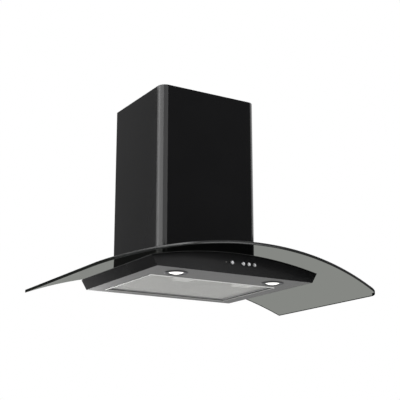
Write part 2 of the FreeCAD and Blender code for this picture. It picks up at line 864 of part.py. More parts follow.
def make_outlet_adapter():
    """Passage from the scroll's oblong outlet to the round outlet in the box roof."""
    centre = fan_centre()
    step, half = value("scroll_step"), value("scroll_half_width - scroll_wall")
    front = value("2 * scroll_step + scroll_step + scroll_radius")
    bottom, top = value("scroll_top"), value("box_top - box_sheet")

    def passage(growth):
        low_y, high_y = centre.y - front - growth, centre.y - step + growth
        wide = half + growth
        corners = [(-wide, low_y), (wide, low_y), (wide, high_y), (-wide, high_y), (-wide, low_y)]
        oblong = Part.makePolygon([Vector(x, y, bottom) for x, y in corners])
        round_centre = Vector(0, -value("duct_setback"), top)
        radius = value("duct_diameter / 2 - 6") + growth
        quarter = [math.atan2(y - round_centre.y, x) for x, y in corners[:4]]
        arcs = []
        for i in range(4):
            start, end = quarter[i], quarter[(i + 1) % 4]
            end += 2 * math.pi if end < start else 0
            places = [
                round_centre + Vector(radius * math.cos(a), radius * math.sin(a), 0)
                for a in (start, (start + end) / 2, end)
            ]
            arcs.append(Part.Arc(*places).toShape())
        return Part.makeLoft([oblong, Part.Wire(arcs)], True, True)

    wall = value("scroll_wall")
    return node("outlet_adapter", feature("adapter", passage(wall).cut(passage(0)).removeSplitter()))


def make_impeller():
    """Double-inlet wheel: a middle disc with a hub, two end rings and leaning blades between them."""
    radius, half = value("fan_radius"), value("fan_half_width")
    inner = radius - 13
    x_axis = Vector(1, 0, 0)
    wheel = Part.makeCylinder(radius, 2, Vector(-1, 0, 0), x_axis)
    for x in (-half, half - 2):
        ring = Part.makeCylinder(radius, 2, Vector(x, 0, 0), x_axis)
        wheel = wheel.fuse(ring.cut(Part.makeCylinder(inner, 2, Vector(x, 0, 0), x_axis)))
    blades = []
    for i in range(BLADE_COUNT):
        blade = Part.makeBox(2 * half - 1, 1, 12.5, Vector(-half + 0.5, -0.5, 0))
        blade.rotate(Vector(), x_axis, 25)
        blade.translate(Vector(0, 0, inner + 0.3))
        blade.rotate(Vector(), x_axis, 360 * i / BLADE_COUNT)
        blades.append(blade)
    limit = Part.makeCylinder(radius, 2 * half, Vector(-half, 0, 0), x_axis)
    wheel = wheel.fuse([blade.common(limit) for blade in blades])
    wheel = wheel.fuse(Part.makeCylinder(10, 20, Vector(0, 0, 0), x_axis))
    bore = Part.makeCylinder(value("shaft_radius"), 30, Vector(-5, 0, 0), x_axis)
    wheel = wheel.cut(bore).removeSplitter()
    wheel.translate(fan_centre())
    return node("impeller", feature("wheel", wheel))


def along_shaft(thing, x):
    """Lays a turned piece, whose own axis is Z, along the fan shaft."""
    return move(thing, x, "-fan_setback", "fan_height", turn=((0, 1, 0), 90))


MOTOR_REAR = "-scroll_half_width"
MOTOR_LENGTH = "46"


def make_impeller_shaft():
    shaft = turned("shaft", [("0", "0"), ("shaft_radius", "0"), ("shaft_radius", "77"), ("0", "77")])
    return node("impeller_shaft", along_shaft(shaft, f"{MOTOR_REAR} + 2"))


def make_motor():
    """Round motor with a stepped nose, bored for the shaft, with a seat for a bearing at each end."""
    bore, seat, length = "shaft_radius + shaft_play", "9", MOTOR_LENGTH
    profile = [
        ("0", "0"),
        ("motor_radius", "0"),
        ("motor_radius", f"{length} - 8"),
        ("motor_radius - 8", length),
        (seat, length),
        (seat, f"{length} - 5"),
        (bore, f"{length} - 5"),
        (bore, "7"),
        (seat, "7"),
        (seat, "1.5"),
        ("0", "1.5"),
    ]
    return node("motor", along_shaft(turned("motor_can", profile), MOTOR_REAR))


def make_motor_bearings():
    rings = []
    for name, low in (("rear", "2"), ("front", f"{MOTOR_LENGTH} - 5")):
        bore = "shaft_radius + shaft_play"
        profile = [(bore, low), ("9", low), ("9", f"{low} + 5"), (bore, f"{low} + 5")]
        rings.append(along_shaft(turned(f"bearing_{name}", profile), MOTOR_REAR))
    return node("motor_bearings", group("bearing_pair", *rings))


def make_motor_bracket():
    """Ring on the scroll's left cheek with three arms that hold the motor in the inlet."""
    thickness, outer, inner = 2, value("scroll_radius - 5"), value("inlet_radius")
    x = -value("scroll_half_width") - thickness
    centre = fan_centre() + Vector(x, 0, 0)
    x_axis = Vector(1, 0, 0)
    ring = Part.makeCylinder(outer, thickness, centre, x_axis)
    plate = ring.cut(Part.makeCylinder(inner, thickness, centre, x_axis))
    plate = plate.fuse(Part.makeCylinder(22, thickness, centre, x_axis))
    for i in range(3):
        arm = Part.makeBox(thickness, 14, inner + 4, centre + Vector(0, -7, 0))
        arm.rotate(centre, x_axis, 120 * i)
        plate = plate.fuse(arm)
    return node("motor_bracket", feature("motor_spider", plate.removeSplitter()))


# Duct collar and non-return flaps


def make_duct_collar():
    """Flanged collar with a ledge inside it on which the flaps rest, and a hole each side for their pin."""
    outer = "duct_diameter / 2"
    inner = f"{outer} - duct_wall"
    base, ledge = "box_top", "flap_height - 0.5"
    profile = [
        (inner, base),
        (f"{outer} + 12", base),
        (f"{outer} + 12", f"{base} + 2"),
        (outer, f"{base} + 2"),
        (outer, f"{base} + duct_length"),
        (inner, f"{base} + duct_length"),
        (inner, ledge),
        (f"{inner} - 3", ledge),
        (f"{inner} - 3", f"{ledge} - 1.5"),
        (inner, f"{ledge} - 1.5"),
    ]
    body = turned("collar", profile)
    pin_hole = sketch(body, "YZ_Plane")
    draw_circle(pin_hole, "0", "flap_pin_height", "flap_pin_radius")
    pocket(body, pin_hole, "duct_diameter")
    return node("duct_collar", move(body, y="-duct_setback"))


def make_flap(label, front):
    """Half-round flap with two knuckles round the pin, clear of the other flap's knuckles."""
    radius, thickness, low = value("flap_radius"), value("flap_sheet"), value("flap_height")
    pin_z, knuckle = value("flap_pin_height"), 4
    x_axis = Vector(1, 0, 0)
    disc = Part.makeCylinder(radius, thickness, Vector(0, 0, low))
    flap = disc.cut(Part.makeBox(3 * radius, 2 * radius, 20, Vector(-1.5 * radius, -4.8, low - 5)))
    for start in (-60, 10):
        tab = Part.makeBox(20, 5, thickness, Vector(start, -5, low))
        flap = flap.fuse([tab, Part.makeCylinder(knuckle, 20, Vector(start, 0, pin_z), x_axis)])
    bore_radius = value("flap_pin_radius + running_fit")
    bore = Part.makeCylinder(bore_radius, 3 * radius, Vector(-1.5 * radius, 0, pin_z), x_axis)
    flap = flap.cut(bore).removeSplitter()
    if not front:
        flap.rotate(Vector(), Vector(0, 0, 1), 180)
    flap.translate(Vector(0, -value("duct_setback"), 0))
    return node(label, feature(f"{label}_form", flap))


def make_flap_pin():
    centre = ("-duct_setback", "flap_pin_height")
    pin = rod("flap_rod", "flap_pin_radius", "x", centre, *both_sides("duct_diameter / 2"))
    return node("flap_pin", pin)


# Electrical pieces


GLAND_THREAD = "6"
GLAND_X = "box_width / 2 + junction_depth / 2 + 1"


def make_junction_box():
    """Open tray on the fan box side with its lid towards the cover, and a hole in its top for the gland."""
    inner, outer, wall = "box_width / 2", "box_width / 2 + junction_depth", "junction_wall"
    y, z = ("-junction_front", "-junction_rear"), ("junction_bottom", "junction_top")
    tray = block("junction_outside", (inner, outer), y, z)
    hollow = block(
        "junction_hollow",
        (f"{inner} + {wall}", f"{outer} + 1"),
        (f"-junction_front + {wall}", f"-junction_rear - {wall}"),
        (f"junction_bottom + {wall}", f"junction_top - {wall}"),
    )
    low, high = "junction_top - 8", "junction_top + 4"
    hole = rod("junction_gland_hole", GLAND_THREAD, "z", (GLAND_X, "-gland_setback"), low, high)
    node("junction_box", cut("junction_tray", tray, hollow, hole))
    node("junction_box_lid", block("junction_lid", (outer, f"{outer} + {wall}"), y, z))


def make_cable_gland():
    """Gland with a hexagonal collar, a domed nut and a straight bore for a 7 mm cable."""
    bore, collar, nut = "gland_bore", "9", "7.5"
    profile = [
        (bore, "-8"),
        (GLAND_THREAD, "-8"),
        (GLAND_THREAD, "0"),
        (collar, "0"),
        (collar, "5"),
        (nut, "5"),
        (nut, "13"),
        (f"{nut} - 1.5", "17"),
        (bore, "17"),
    ]
    return node("cable_gland", move(turned("gland", profile), GLAND_X, "-gland_setback", "junction_top"))


def make_capacitor():
    """A round can with a bevelled foot, in a clip round its middle that is screwed to the fan box."""
    radius, length, side = "capacitor_radius", "capacitor_length", "-box_width / 2"
    profile = [("0", "0"), (f"{radius} - 1", "0"), (radius, "1"), (radius, length), ("0", length)]
    centre = (f"{side} - {radius} - 1", "-gland_setback")
    node("capacitor", move(turned("capacitor_can", profile), *centre, "capacitor_bottom"))
    z = ("capacitor_bottom + 18", "capacitor_bottom + 32")
    foot_y = (f"-gland_setback - 2 * {radius}", f"-gland_setback + 2 * {radius}")
    band = join(
        "clip_band",
        rod("clip_outside", f"{radius} + 1.2", "z", centre, *z),
        block("clip_foot", (f"{side} - 2", side), foot_y, z),
    )
    tall = ("capacitor_bottom + 10", "capacitor_bottom + 40")
    trim = block("clip_trim", (side, "0"), (f"{foot_y[0]} - 1", f"{foot_y[1]} + 1"), tall)
    hollow = rod("clip_inside", radius, "z", centre, *tall)
    node("capacitor_clip", cut("capacitor_band", band, trim, hollow))


def make_lamp_driver():
    body = new_body("driver")
    outline = sketch(body, "XY_Plane", "tray_sheet")
    draw_rectangle(outline, ("50", "118"), ("-400", "-345"))
    pad(body, outline, "22")
    return node("lamp_driver", body)


# Control panel

INWARD = ((1, 0, 0), -90)  # lays a turned piece's own Z axis towards the wall


def button_x(index):
    return f"button_first + {BUTTON_PLACES[index]} * button_pitch"


def pilot_x():
    return "button_first - button_pitch"


def make_buttons():
    """Round caps with a rounded face and a stem behind, each turned about its own axis."""
    for i in range(BUTTON_COUNT):
        radius, length = "button_size / 2", "button_reach + 7"
        profile = [
            ("0", "0"),
            (f"{radius} - 0.8", "0"),
            (radius, "0.8"),
            (radius, length),
            ("stem_radius", length),
            ("stem_radius", f"{length} + 9.5"),
            ("0", f"{length} + 9.5"),
        ]
        cap = turned(f"cap_{i}", profile)
        front = "-body_depth - button_reach"
        node(f"button_{i + 1}", move(cap, button_x(i), front, "button_height", INWARD))


HOUSING_BACK = "-body_depth + housing_depth"


def make_switch_housing():
    """Block behind the front panel with a round pocket for each cap, a bore for each stem and two posts."""
    front, back = "-body_depth + panel_sheet", HOUSING_BACK
    x = ("button_first - 28", "button_first + 84")
    z = ("button_height - housing_height / 2", "button_height + housing_height / 2")
    plate = block("housing_block", x, (front, back), z)
    posts = [
        rod(f"housing_post_{i}", "3", "y", (place, "button_height"), back, f"{back} + 8")
        for i, place in enumerate(("button_first - 24", "button_first + 81"))
    ]
    pocket_radius = "button_size / 2 + button_play + 0.2"
    bores = []
    for i in range(BUTTON_COUNT):
        centre = (button_x(i), "button_height")
        bores += [
            rod(f"housing_pocket_{i}", pocket_radius, "y", centre, f"{front} - 1", f"{back} - 5"),
            rod(f"housing_bore_{i}", "stem_radius + running_fit", "y", centre, f"{back} - 6", f"{back} + 1"),
        ]
    centre = (pilot_x(), "button_height")
    bores.append(rod("housing_pilot", "pilot_radius", "y", centre, f"{front} - 1", f"{back} + 1"))
    return node("switch_housing", cut("housing_cut", join("housing_form", plate, *posts), *bores))


def make_control_board():
    """The board stands on the housing's posts, with a push switch behind each stem."""
    back = f"{HOUSING_BACK} + 8"
    z = ("button_height - housing_height / 2 - 2", "button_height + housing_height / 2 + 2")
    board = block("board", ("button_first - 30", "button_first + 86"), (back, f"{back} + 1.6"), z)
    node("control_board", board)
    half = "3.5"
    switches = []
    for i in range(BUTTON_COUNT):
        x = (f"{button_x(i)} - {half}", f"{button_x(i)} + {half}")
        z = (f"button_height - {half}", f"button_height + {half}")
        switches.append(block(f"switch_{i}", x, (f"{back} - button_travel - 2.4", back), z))
    node("push_switches", group("switch_set", *switches))


def make_pilot_lens():
    radius = "pilot_radius"
    profile = [("0", "0"), (f"{radius} - 0.4", "0"), (radius, "0.6"), (radius, "14"), ("0", "14")]
    lens = turned("pilot", profile)
    return node("pilot_lens", move(lens, pilot_x(), "-body_depth - 0.5", "button_height", INWARD))


# Lamps


def make_lamps():
    """Each lamp is a rim with a collar, a lens seated in it, and a closed can above."""
    lens, rim, collar = "lamp_lens / 2", "lamp_rim / 2", "lamp_hole / 2 - 0.3"
    seat = f"{lens} + 3"
    profiles = {
        "rim": [
            (lens, "-0.2"),
            (f"{lens} + 1", "-1.4"),
            (f"{rim} - 1", "-1.4"),
            (rim, "-0.4"),
            (rim, "0"),
            (collar, "0"),
            (collar, "8"),
            (seat, "8"),
            (seat, "1.2"),
            (lens, "1.2"),
        ],
        "lens": [("0", "1.2"), (seat, "1.2"), (seat, "3.4"), ("0", "3.4")],
        "can": [
            ("0", "lamp_can_height"),
            ("16", "lamp_can_height"),
            (seat, "12"),
            (seat, "3.4"),
            (f"{seat} - 1.5", "3.4"),
            (f"{seat} - 1.5", "11.6"),
            ("15", "lamp_can_height - 1.5"),
            ("0", "lamp_can_height - 1.5"),
        ],
    }
    for side, sign in (("left", -1), ("right", 1)):
        for part, profile in profiles.items():
            body = turned(f"lamp_{part}_{sign + 1}", profile)
            node(f"lamp_{part}_{side}", move(body, f"{sign} * lamp_spacing / 2", "-lamp_setback"))


# Grease filter


def filter_outline():
    """Half width, front and rear of the filter, inside its opening."""
    return (
        "opening_width / 2 - filter_play",
        "-opening_front + filter_play - 0.5",
        "-opening_rear - filter_play - 0.5",
    )


SLOT_TOP = "filter_bottom + 6.8"


def latch_slot(name, sign, low, high):
    """The slot that a latch's stem slides in."""
    x = f"{sign} * latch_spacing / 2"
    _, front, _ = filter_outline()
    y = (f"{front} - 1", f"{front} + 14 + latch_travel")
    return block(name, (f"{x} - latch_stem / 2 - 1", f"{x} + latch_stem / 2 + 1"), y, (low, high))


def make_filter_frame():
    """Channel frame with a trunnion at each rear corner and a slot at each latch."""
    half, front, rear = filter_outline()
    low, high = "filter_bottom", "filter_bottom + filter_height"
    outside = block("frame_outside", both_sides(half), (front, rear), (low, high))
    border = "filter_border"
    window = (f"{front} + {border}", f"{rear} - {border}")
    window_x = both_sides(f"{half} - {border}")
    opening = block("frame_window", window_x, window, (f"{low} - 1", f"{high} + 1"))
    reach = both_sides(f"{half} + filter_play + tray_sheet")
    pivots = rod("frame_pivots", "pivot_radius", "x", ("-pivot_setback", "pivot_height"), *reach)
    pivot_gap = block("frame_pivot_gap", both_sides(f"{half} - 1"), ("-opening_front", "0"), ("-1", "20"))
    pins = cut("frame_pins", pivots, pivot_gap)
    slots = [latch_slot(f"frame_slot_{sign + 1}", sign, f"{low} - 1", SLOT_TOP) for sign in (-1, 1)]
    return node("filter_frame", join("frame_form", cut("frame_cut", outside, opening, *slots), pins))


def make_filter_mesh():
    """Three layers of expanded metal inside the frame, each as a thin sheet."""
    half, front, rear = filter_outline()
    border = "filter_border"
    layers = []
    for i in range(MESH_LAYERS):
        low = f"filter_bottom + 1.4 + {i} * (filter_height - 2.4 - mesh_sheet) / {MESH_LAYERS - 1}"
        layer = block(
            f"mesh_layer_{i}",
            both_sides(f"{half} - {border}"),
            (f"{front} + {border}", f"{rear} - {border}"),
            (low, f"{low} + mesh_sheet"),
        )
        slots = [latch_slot(f"mesh_slot_{sign + 1}_{i}", sign, "0", SLOT_TOP) for sign in (-1, 1)]
        layers.append(cut(f"mesh_cut_{i}", layer, *slots))
    return node("filter_mesh", group("mesh_layers", *layers))


def make_filter_latches():
    """Each latch has a grip under the filter, a stem up through its slot and a tongue that faces the lip."""
    _, front, _ = filter_outline()
    bottom, seat, top = "-2.6", "0.3", "7"
    for side, sign in (("left", -1), ("right", 1)):
        x = f"{sign} * latch_spacing / 2"
        wide = (f"{x} - latch_width / 2", f"{x} + latch_width / 2")
        narrow = (f"{x} - latch_width / 2 + 6", f"{x} + latch_width / 2 - 6")
        stem_x = (f"{x} - latch_stem / 2", f"{x} + latch_stem / 2")
        spans = {
            "grip": (wide, (f"{front} + 0.5", f"{front} + latch_length"), (bottom, seat)),
            "rest": (narrow, (f"{front} + latch_length - 3", f"{front} + latch_length"), ("-5.5", bottom)),
            "stem": (stem_x, (f"{front} + 1", f"{front} + 7"), (seat, top)),
            "tongue": (stem_x, (front, f"{front} + 7"), ("4.8", top)),
        }
        pieces = [block(f"latch_{part}_{side}", *span) for part, span in spans.items()]
        node(f"filter_latch_{side}", join(f"latch_{side}", *pieces))


def make_latch_springs():
    """A small coil behind each latch stem, between it and the end of its slot."""
    _, front, _ = filter_outline()
    start, length = value(f"{front} + 7"), 10.4
    wire_radius, coil_radius, turns = 0.35, 1.9, 5
    for side, sign in (("left", -1), ("right", 1)):
        rise = length - 2 * wire_radius
        coil = Part.makeHelix(rise / turns, rise, coil_radius)
        first = Part.Circle(Vector(coil_radius, 0, 0), Vector(0, 1, 0), wire_radius).toShape()
        wire = Part.Wire(coil.Edges).makePipeShell([Part.Wire([first])], True, True)
        wire.rotate(Vector(), Vector(1, 0, 0), -90)
        wire.translate(Vector(sign * value("latch_spacing / 2"), start + wire_radius + 0.1, 4.4))
        node(f"latch_spring_{side}", feature(f"latch_coil_{side}", wire))


def build():
    fill_sheet()
    make_underside_panel()
    make_front_panel()
    make_back_panel()
    make_side_panels()
    make_glass_seal()
    make_glass_canopy()
    make_lower_chimney()
    make_upper_chimney()
    make_ceiling_bracket()
    make_bracket_screws()
    make_cover_brackets()
    make_fan_deck()
    make_glass_rails()
    make_rail_pads()
    make_glass_screws()
    make_wall_bracket()
    make_hanging_hooks()
    make_fan_box()
    make_box_screws()
    make_scroll_halves()
    make_outlet_adapter()
    make_impeller()
    make_impeller_shaft()
    make_motor()
    make_motor_bearings()
    make_motor_bracket()
    make_duct_collar()
    make_flap("front_flap", True)
    make_flap("rear_flap", False)
    make_flap_pin()
    make_junction_box()
    make_cable_gland()
    make_capacitor()
    make_lamp_driver()
    make_buttons()
    make_switch_housing()
    make_control_board()
    make_pilot_lens()
    make_lamps()
    make_filter_frame()
    make_filter_mesh()
    make_filter_latches()
    make_latch_springs()
    doc.recompute()


def check_document():
    for thing in doc.Objects:
        if "Invalid" in thing.State or "Error" in thing.State:
            raise RuntimeError(f"{thing.Label} failed: {thing.State}")
    for piece in nodes:
        if piece.Shape.isNull() or not piece.Shape.isValid():
            raise RuntimeError(f"{piece.Label} has no valid shape")


def export():
    os.makedirs("parts", exist_ok=True)
    for piece in nodes:
        piece.Shape.exportStep(f"parts/{piece.Label}.step")
        box = piece.Shape.BoundBox
        solids = len(piece.Shape.Solids)
        print(f"{piece.Label}: {solids} solids, {piece.Shape.Volume / 1000:.2f} cm3, "
              f"z {box.ZMin:.1f} to {box.ZMax:.1f}")
    print(len(nodes), "nodes")


build()
check_document()
export()
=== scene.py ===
import math

import bmesh
import bpy
import numpy as np
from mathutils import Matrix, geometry


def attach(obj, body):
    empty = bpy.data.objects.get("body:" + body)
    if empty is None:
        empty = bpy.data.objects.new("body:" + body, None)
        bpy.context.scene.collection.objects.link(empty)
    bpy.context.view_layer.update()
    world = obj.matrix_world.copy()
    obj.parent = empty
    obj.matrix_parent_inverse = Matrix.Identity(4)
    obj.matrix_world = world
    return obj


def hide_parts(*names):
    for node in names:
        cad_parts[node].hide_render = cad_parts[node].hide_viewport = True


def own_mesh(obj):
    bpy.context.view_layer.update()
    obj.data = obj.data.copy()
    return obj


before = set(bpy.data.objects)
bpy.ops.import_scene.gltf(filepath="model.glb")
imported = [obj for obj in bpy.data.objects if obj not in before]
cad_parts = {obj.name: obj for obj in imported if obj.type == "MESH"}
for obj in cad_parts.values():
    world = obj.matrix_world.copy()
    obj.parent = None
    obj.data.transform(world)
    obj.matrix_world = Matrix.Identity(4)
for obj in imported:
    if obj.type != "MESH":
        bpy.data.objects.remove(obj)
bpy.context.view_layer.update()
print("loaded", len(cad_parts), "nodes")

# Sizes are in millimetres here and become metres when a mesh is made.
mm = 0.001
# Points of one piece that are nearer to each other than this become one.
seam = 0.004
sides = (("left", -1), ("right", 1))


def arcPoints(centre, radius, start, end, count):
    # Rows of points on an arc between two angles in degrees.
    angle = np.radians(np.linspace(start, end, count))
    return np.stack([centre[0] + radius * np.cos(angle), centre[1] + radius * np.sin(angle)], 1)


def quarter(centre, radius, start, steps=3):
    # A quarter circle from an angle in degrees, turning anticlockwise.
    return arcPoints(centre, radius, start, start + 90, steps + 1)


def circleLoop(x, y, radius, count):
    # A hole's outline, clockwise.
    return arcPoints((x, y), radius, 0, -360, count + 1)[:-1]


def rectangle(x, y, corner, steps=4, clockwise=False):
    # A rectangle with rounded corners, from its two spans.
    low, high = np.array([x[0], y[0]]) + corner, np.array([x[1], y[1]]) - corner
    centres = [(high[0], high[1]), (low[0], high[1]), (low[0], low[1]), (high[0], low[1])]
    loop = np.concatenate([quarter(each, corner, 90 * i, steps) for i, each in enumerate(centres)])
    return loop[::-1] if clockwise else loop


def split(loop, step):
    # The same outline with its long edges divided, so that it can follow a curved surface.
    ends = np.roll(loop, -1, 0)
    pieces = np.maximum(np.ceil(np.linalg.norm(ends - loop, axis=1) / step), 1).astype(int)
    first = np.repeat(np.cumsum(pieces) - pieces, pieces)
    share = (np.arange(pieces.sum()) - first) / np.repeat(pieces, pieces)
    start, end = np.repeat(loop, pieces, 0), np.repeat(ends, pieces, 0)
    return start + (end - start) * share[:, None]


def inward(loop, inset):
    # Every edge of the outline shifted by `inset` into the material, which lies on its left. Each
    # corner moves along the mitre of its two edges.
    edge = np.roll(loop, -1, 0) - loop
    normal = np.stack([edge[:, 1], -edge[:, 0]], 1) / np.linalg.norm(edge, axis=1)[:, None]
    before = np.roll(normal, 1, 0)
    mitre = (normal + before) / (1 + (normal * before).sum(1))[:, None]
    return loop - mitre * inset


def inside(points, loops):
    # Which points lie in the material: a ray to the right crosses an odd number of edges.
    hits = np.zeros(len(points), int)
    for loop in loops:
        a, b = loop, np.roll(loop, -1, 0)
        rises = (a[:, 1] > points[:, 1, None]) != (b[:, 1] > points[:, 1, None])
        slope = (b[:, 0] - a[:, 0]) / np.where(a[:, 1] == b[:, 1], 1, b[:, 1] - a[:, 1])
        crossing = a[:, 0] + (points[:, 1, None] - a[:, 1]) * slope
        hits += (rises & (points[:, 0, None] < crossing)).sum(1)
    return hits % 2 == 1


def gridFaces(rows, columns):
    # Four corners of each face of a grid of points, stored row by row, whose rows are closed rings.
    i, j = np.broadcast_arrays(np.arange(rows - 1)[:, None], np.arange(columns)[None, :])
    here, after, ahead = i * columns, (i + 1) * columns, (j + 1) % columns
    return np.stack([here + j, here + ahead, after + ahead, after + j], -1).reshape(-1, 4)


def edgeRounding(thickness, radius, steps):
    # Section of a plate's edge, as (inset, height) from its top face to its bottom face.
    low = quarter((radius, radius), radius, 180, steps)
    high = quarter((radius, thickness - radius), radius, 90, steps)
    return np.concatenate([high, low])


def plate(loops, profiles, lift, points=None, edge=0):
    # A plate with holes: its two faces are triangulated between the outlines, and each outline carries
    # its own edge section, in the material `edge`. `lift` turns plan points and heights into points in
    # space, and `points` are added between the outlines where a plate is curved.
    parts = []
    borders = [inward(loop, profile[0][0]) for loop, profile in zip(loops, profiles)]
    for loop, profile in zip(loops, profiles):
        rings = np.concatenate([inward(loop, inset) for inset, _ in profile])
        heights = np.repeat([height for _, height in profile], len(loop))
        skin = lift(rings[:, 0], rings[:, 1], heights)
        parts.append((skin, [gridFaces(len(profile), len(loop))], edge))
    flat = np.concatenate(borders)
    starts = np.cumsum([0] + [len(each) for each in borders])
    edges = np.concatenate([
        np.stack([np.arange(a, b), np.roll(np.arange(a, b), -1)], 1) for a, b in zip(starts, starts[1:])
    ])
    if points is not None:
        flat = np.concatenate([flat, points[inside(points, borders)]])
    made = geometry.delaunay_2d_cdt(flat.tolist(), edges.tolist(), [], 0, 1e-5)
    flat = np.array([tuple(each) for each in made[0]])
    triangles = np.array(made[2])
    triangles = triangles[inside(flat[triangles].mean(1), borders)]
    for height in (profiles[0][0][1], profiles[0][-1][1]):
        parts.append((lift(flat[:, 0], flat[:, 1], np.full(len(flat), height)), [triangles], 0))
    return parts


def sweep(sections):
    # A closed section carried along a path, with capped ends: an array of (steps, corners, 3) points.
    steps, corners = sections.shape[:2]
    ring = np.arange(corners)
    faces = [gridFaces(steps, corners), ring[None, ::-1], ((steps - 1) * corners + ring)[None]]
    return (sections.reshape(-1, 3), faces, 0)


def lathe(profile, centre, toWall=False, count=64):
    # A profile of (radius, height) turned about an upright axis, or about an axis along Y that points
    # to the wall.
    profile = np.asarray(profile, float)
    angle = np.linspace(0, 2 * math.pi, count, endpoint=False)
    radius, height = np.broadcast_arrays(profile[:, 0, None], profile[:, 1, None] + 0 * angle)
    across, up = radius * np.cos(angle), radius * np.sin(angle)
    axes = (across, height, up) if toWall else (across, up, height)
    points = np.stack(axes, -1).reshape(-1, 3) + np.array(centre)
    return (points, [gridFaces(len(profile), count)], 0)


def smoothProfile(corners, radius, steps):
    # An open profile whose inner corners are rounded: each corner becomes a curve, with the two points
    # `radius` before and after it as its ends and the corner as its control point. A short edge gives
    # each of its corners a little less than its half.
    longest = 0.45
    corners = np.asarray(corners, float)
    rows = [corners[:1]]
    for before, corner, after in zip(corners, corners[1:], corners[2:]):
        lengths = [np.linalg.norm(before - corner), np.linalg.norm(after - corner)]
        reach = min(radius, longest * min(lengths))
        start = corner + (before - corner) / lengths[0] * reach
        end = corner + (after - corner) / lengths[1] * reach
        t = np.linspace(0, 1, steps + 1)[:, None]
        rows.append((1 - t) ** 2 * start + 2 * t * (1 - t) * corner + t ** 2 * end)
    return np.concatenate(rows + [corners[-1:]])


def closedProfile(corners, radius, steps):
    # The same for a closed section.
    corners = np.asarray(corners, float)
    looped = np.concatenate([corners[-1:], corners, corners[:1]])
    return smoothProfile(looped, radius, steps)[1:-1]


def newObject(name, data):
    made = bpy.data.objects.new(name, data)
    bpy.context.scene.collection.objects.link(made)
    return made


def makePiece(name, parts, materials, body, slot, replaced, smooth):
    # One object of several parts, with merged seams and faces outward. Only edges sharper than
    # `smooth` degrees stay sharp.
    starts = np.cumsum([0] + [len(points) for points, _, _ in parts])
    rows = [
        (faces + start, material)
        for (_, arrays, material), start in zip(parts, starts) for faces in arrays
    ]
    counts = np.concatenate([np.full(len(faces), faces.shape[1]) for faces, _ in rows])
    mesh = bpy.data.meshes.new(name)
    points = np.concatenate([points for points, _, _ in parts]) * mm
    mesh.vertices.add(len(points))
    mesh.vertices.foreach_set("co", points.ravel())
    corners = np.concatenate([faces.ravel() for faces, _ in rows])
    mesh.loops.add(len(corners))
    mesh.loops.foreach_set("vertex_index", corners)
    mesh.polygons.add(len(counts))
    mesh.polygons.foreach_set("loop_start", np.cumsum(counts) - counts)
    mesh.polygons.foreach_set("material_index", np.concatenate([np.full(len(f), m) for f, m in rows]))
    mesh.update(calc_edges=True)
    built = bmesh.new()
    built.from_mesh(mesh)
    bmesh.ops.remove_doubles(built, verts=built.verts, dist=seam * mm)
    bmesh.ops.recalc_face_normals(built, faces=built.faces)
    built.to_mesh(mesh)
    built.free()
    mesh.shade_smooth()
    mesh.set_sharp_from_angle(angle=math.radians(smooth))
    for each in materials:
        mesh.materials.append(each)
    piece = newObject(name, mesh)
    weighted = piece.modifiers.new("evenShading", "WEIGHTED_NORMAL")
    weighted.keep_sharp = True
    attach(piece, body)
    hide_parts(*replaced)
    print("made", name, len(mesh.polygons), "faces")
    return piece


def colour(code):
    # An sRGB hex code as linear light: a straight line for the darkest tones, a power above them.
    channels = np.array([int(code[i:i + 2], 16) for i in (1, 3, 5)]) / 255
    linear = np.where(channels <= 0.04045, channels / 12.92, ((channels + 0.055) / 1.055) ** 2.4)
    return (*linear.tolist(), 1.0)


def add(tree, kind, inputs=None, **settings):
    # A new node. Its inputs take plain values or the first output of another node.
    made = tree.nodes.new(kind)
    for key, value in settings.items():
        setattr(made, key, value)
    for key, value in (inputs or {}).items():
        if isinstance(value, bpy.types.Node):
            value = value.outputs[0]
        if isinstance(value, bpy.types.NodeSocket):
            tree.links.new(value, made.inputs[key])
        else:
            made.inputs[key].default_value = value
    return made


def emptyTree(owner):
    owner.use_nodes = True
    owner.node_tree.nodes.clear()
    return owner.node_tree


def emptyMaterial(name):
    made = bpy.data.materials.new(name)
    return made, emptyTree(made)


def placeIn(tree, size):
    # The object's own coordinates, counted in a size in millimetres, or in one along each axis.
    place = add(tree, "ShaderNodeTexCoord").outputs["Object"]
    scale = [1 / (each * mm) for each in np.broadcast_to(size, 3).tolist()]
    return add(tree, "ShaderNodeMapping", {"Vector": place, "Scale": scale})


def grainAt(tree, size, detail=3.0):
    # Noise whose marks have about the given size.
    place = placeIn(tree, size)
    return add(tree, "ShaderNodeTexNoise", {"Vector": place, "Scale": 1.0, "Detail": detail})


def spread(tree, value, low, high):
    # Noise, most of which lies between 0.3 and 0.7, spread over a range.
    return add(tree, "ShaderNodeMapRange", {
        "Value": value, "From Min": 0.3, "From Max": 0.7, "To Min": low, "To Max": high})


def tonesOf(tree, value, *stops):
    # A ramp between two stops, each of them a position and a hex code.
    made = add(tree, "ShaderNodeValToRGB", {"Fac": value})
    for end, (position, code) in zip(made.color_ramp.elements, stops):
        end.position, end.color = position, colour(code)
    return made


def finish(name, light, dark, grain, roughness, bump=0.0, bumpGrain=None, mirror=0.5, metal=0.0):
    # A surface whose colour and roughness drift between two values with one grain, and whose relief
    # follows another. `bump` is the relief in millimetres and `mirror` the specular level.
    made, tree = emptyMaterial(name)
    marks = grainAt(tree, grain)
    tones = tonesOf(tree, marks, (0.35, dark), (0.65, light))
    inputs = {"Base Color": tones, "Roughness": spread(tree, marks, *roughness),
              "Specular IOR Level": mirror, "Metallic": metal}
    if bump:
        relief = grainAt(tree, bumpGrain, 2.0)
        inputs["Normal"] = add(tree, "ShaderNodeBump", {
            "Height": relief, "Distance": bump * mm, "Strength": 1.0})
    shader = add(tree, "ShaderNodeBsdfPrincipled", inputs)
    add(tree, "ShaderNodeOutputMaterial", {"Surface": shader})
    return made


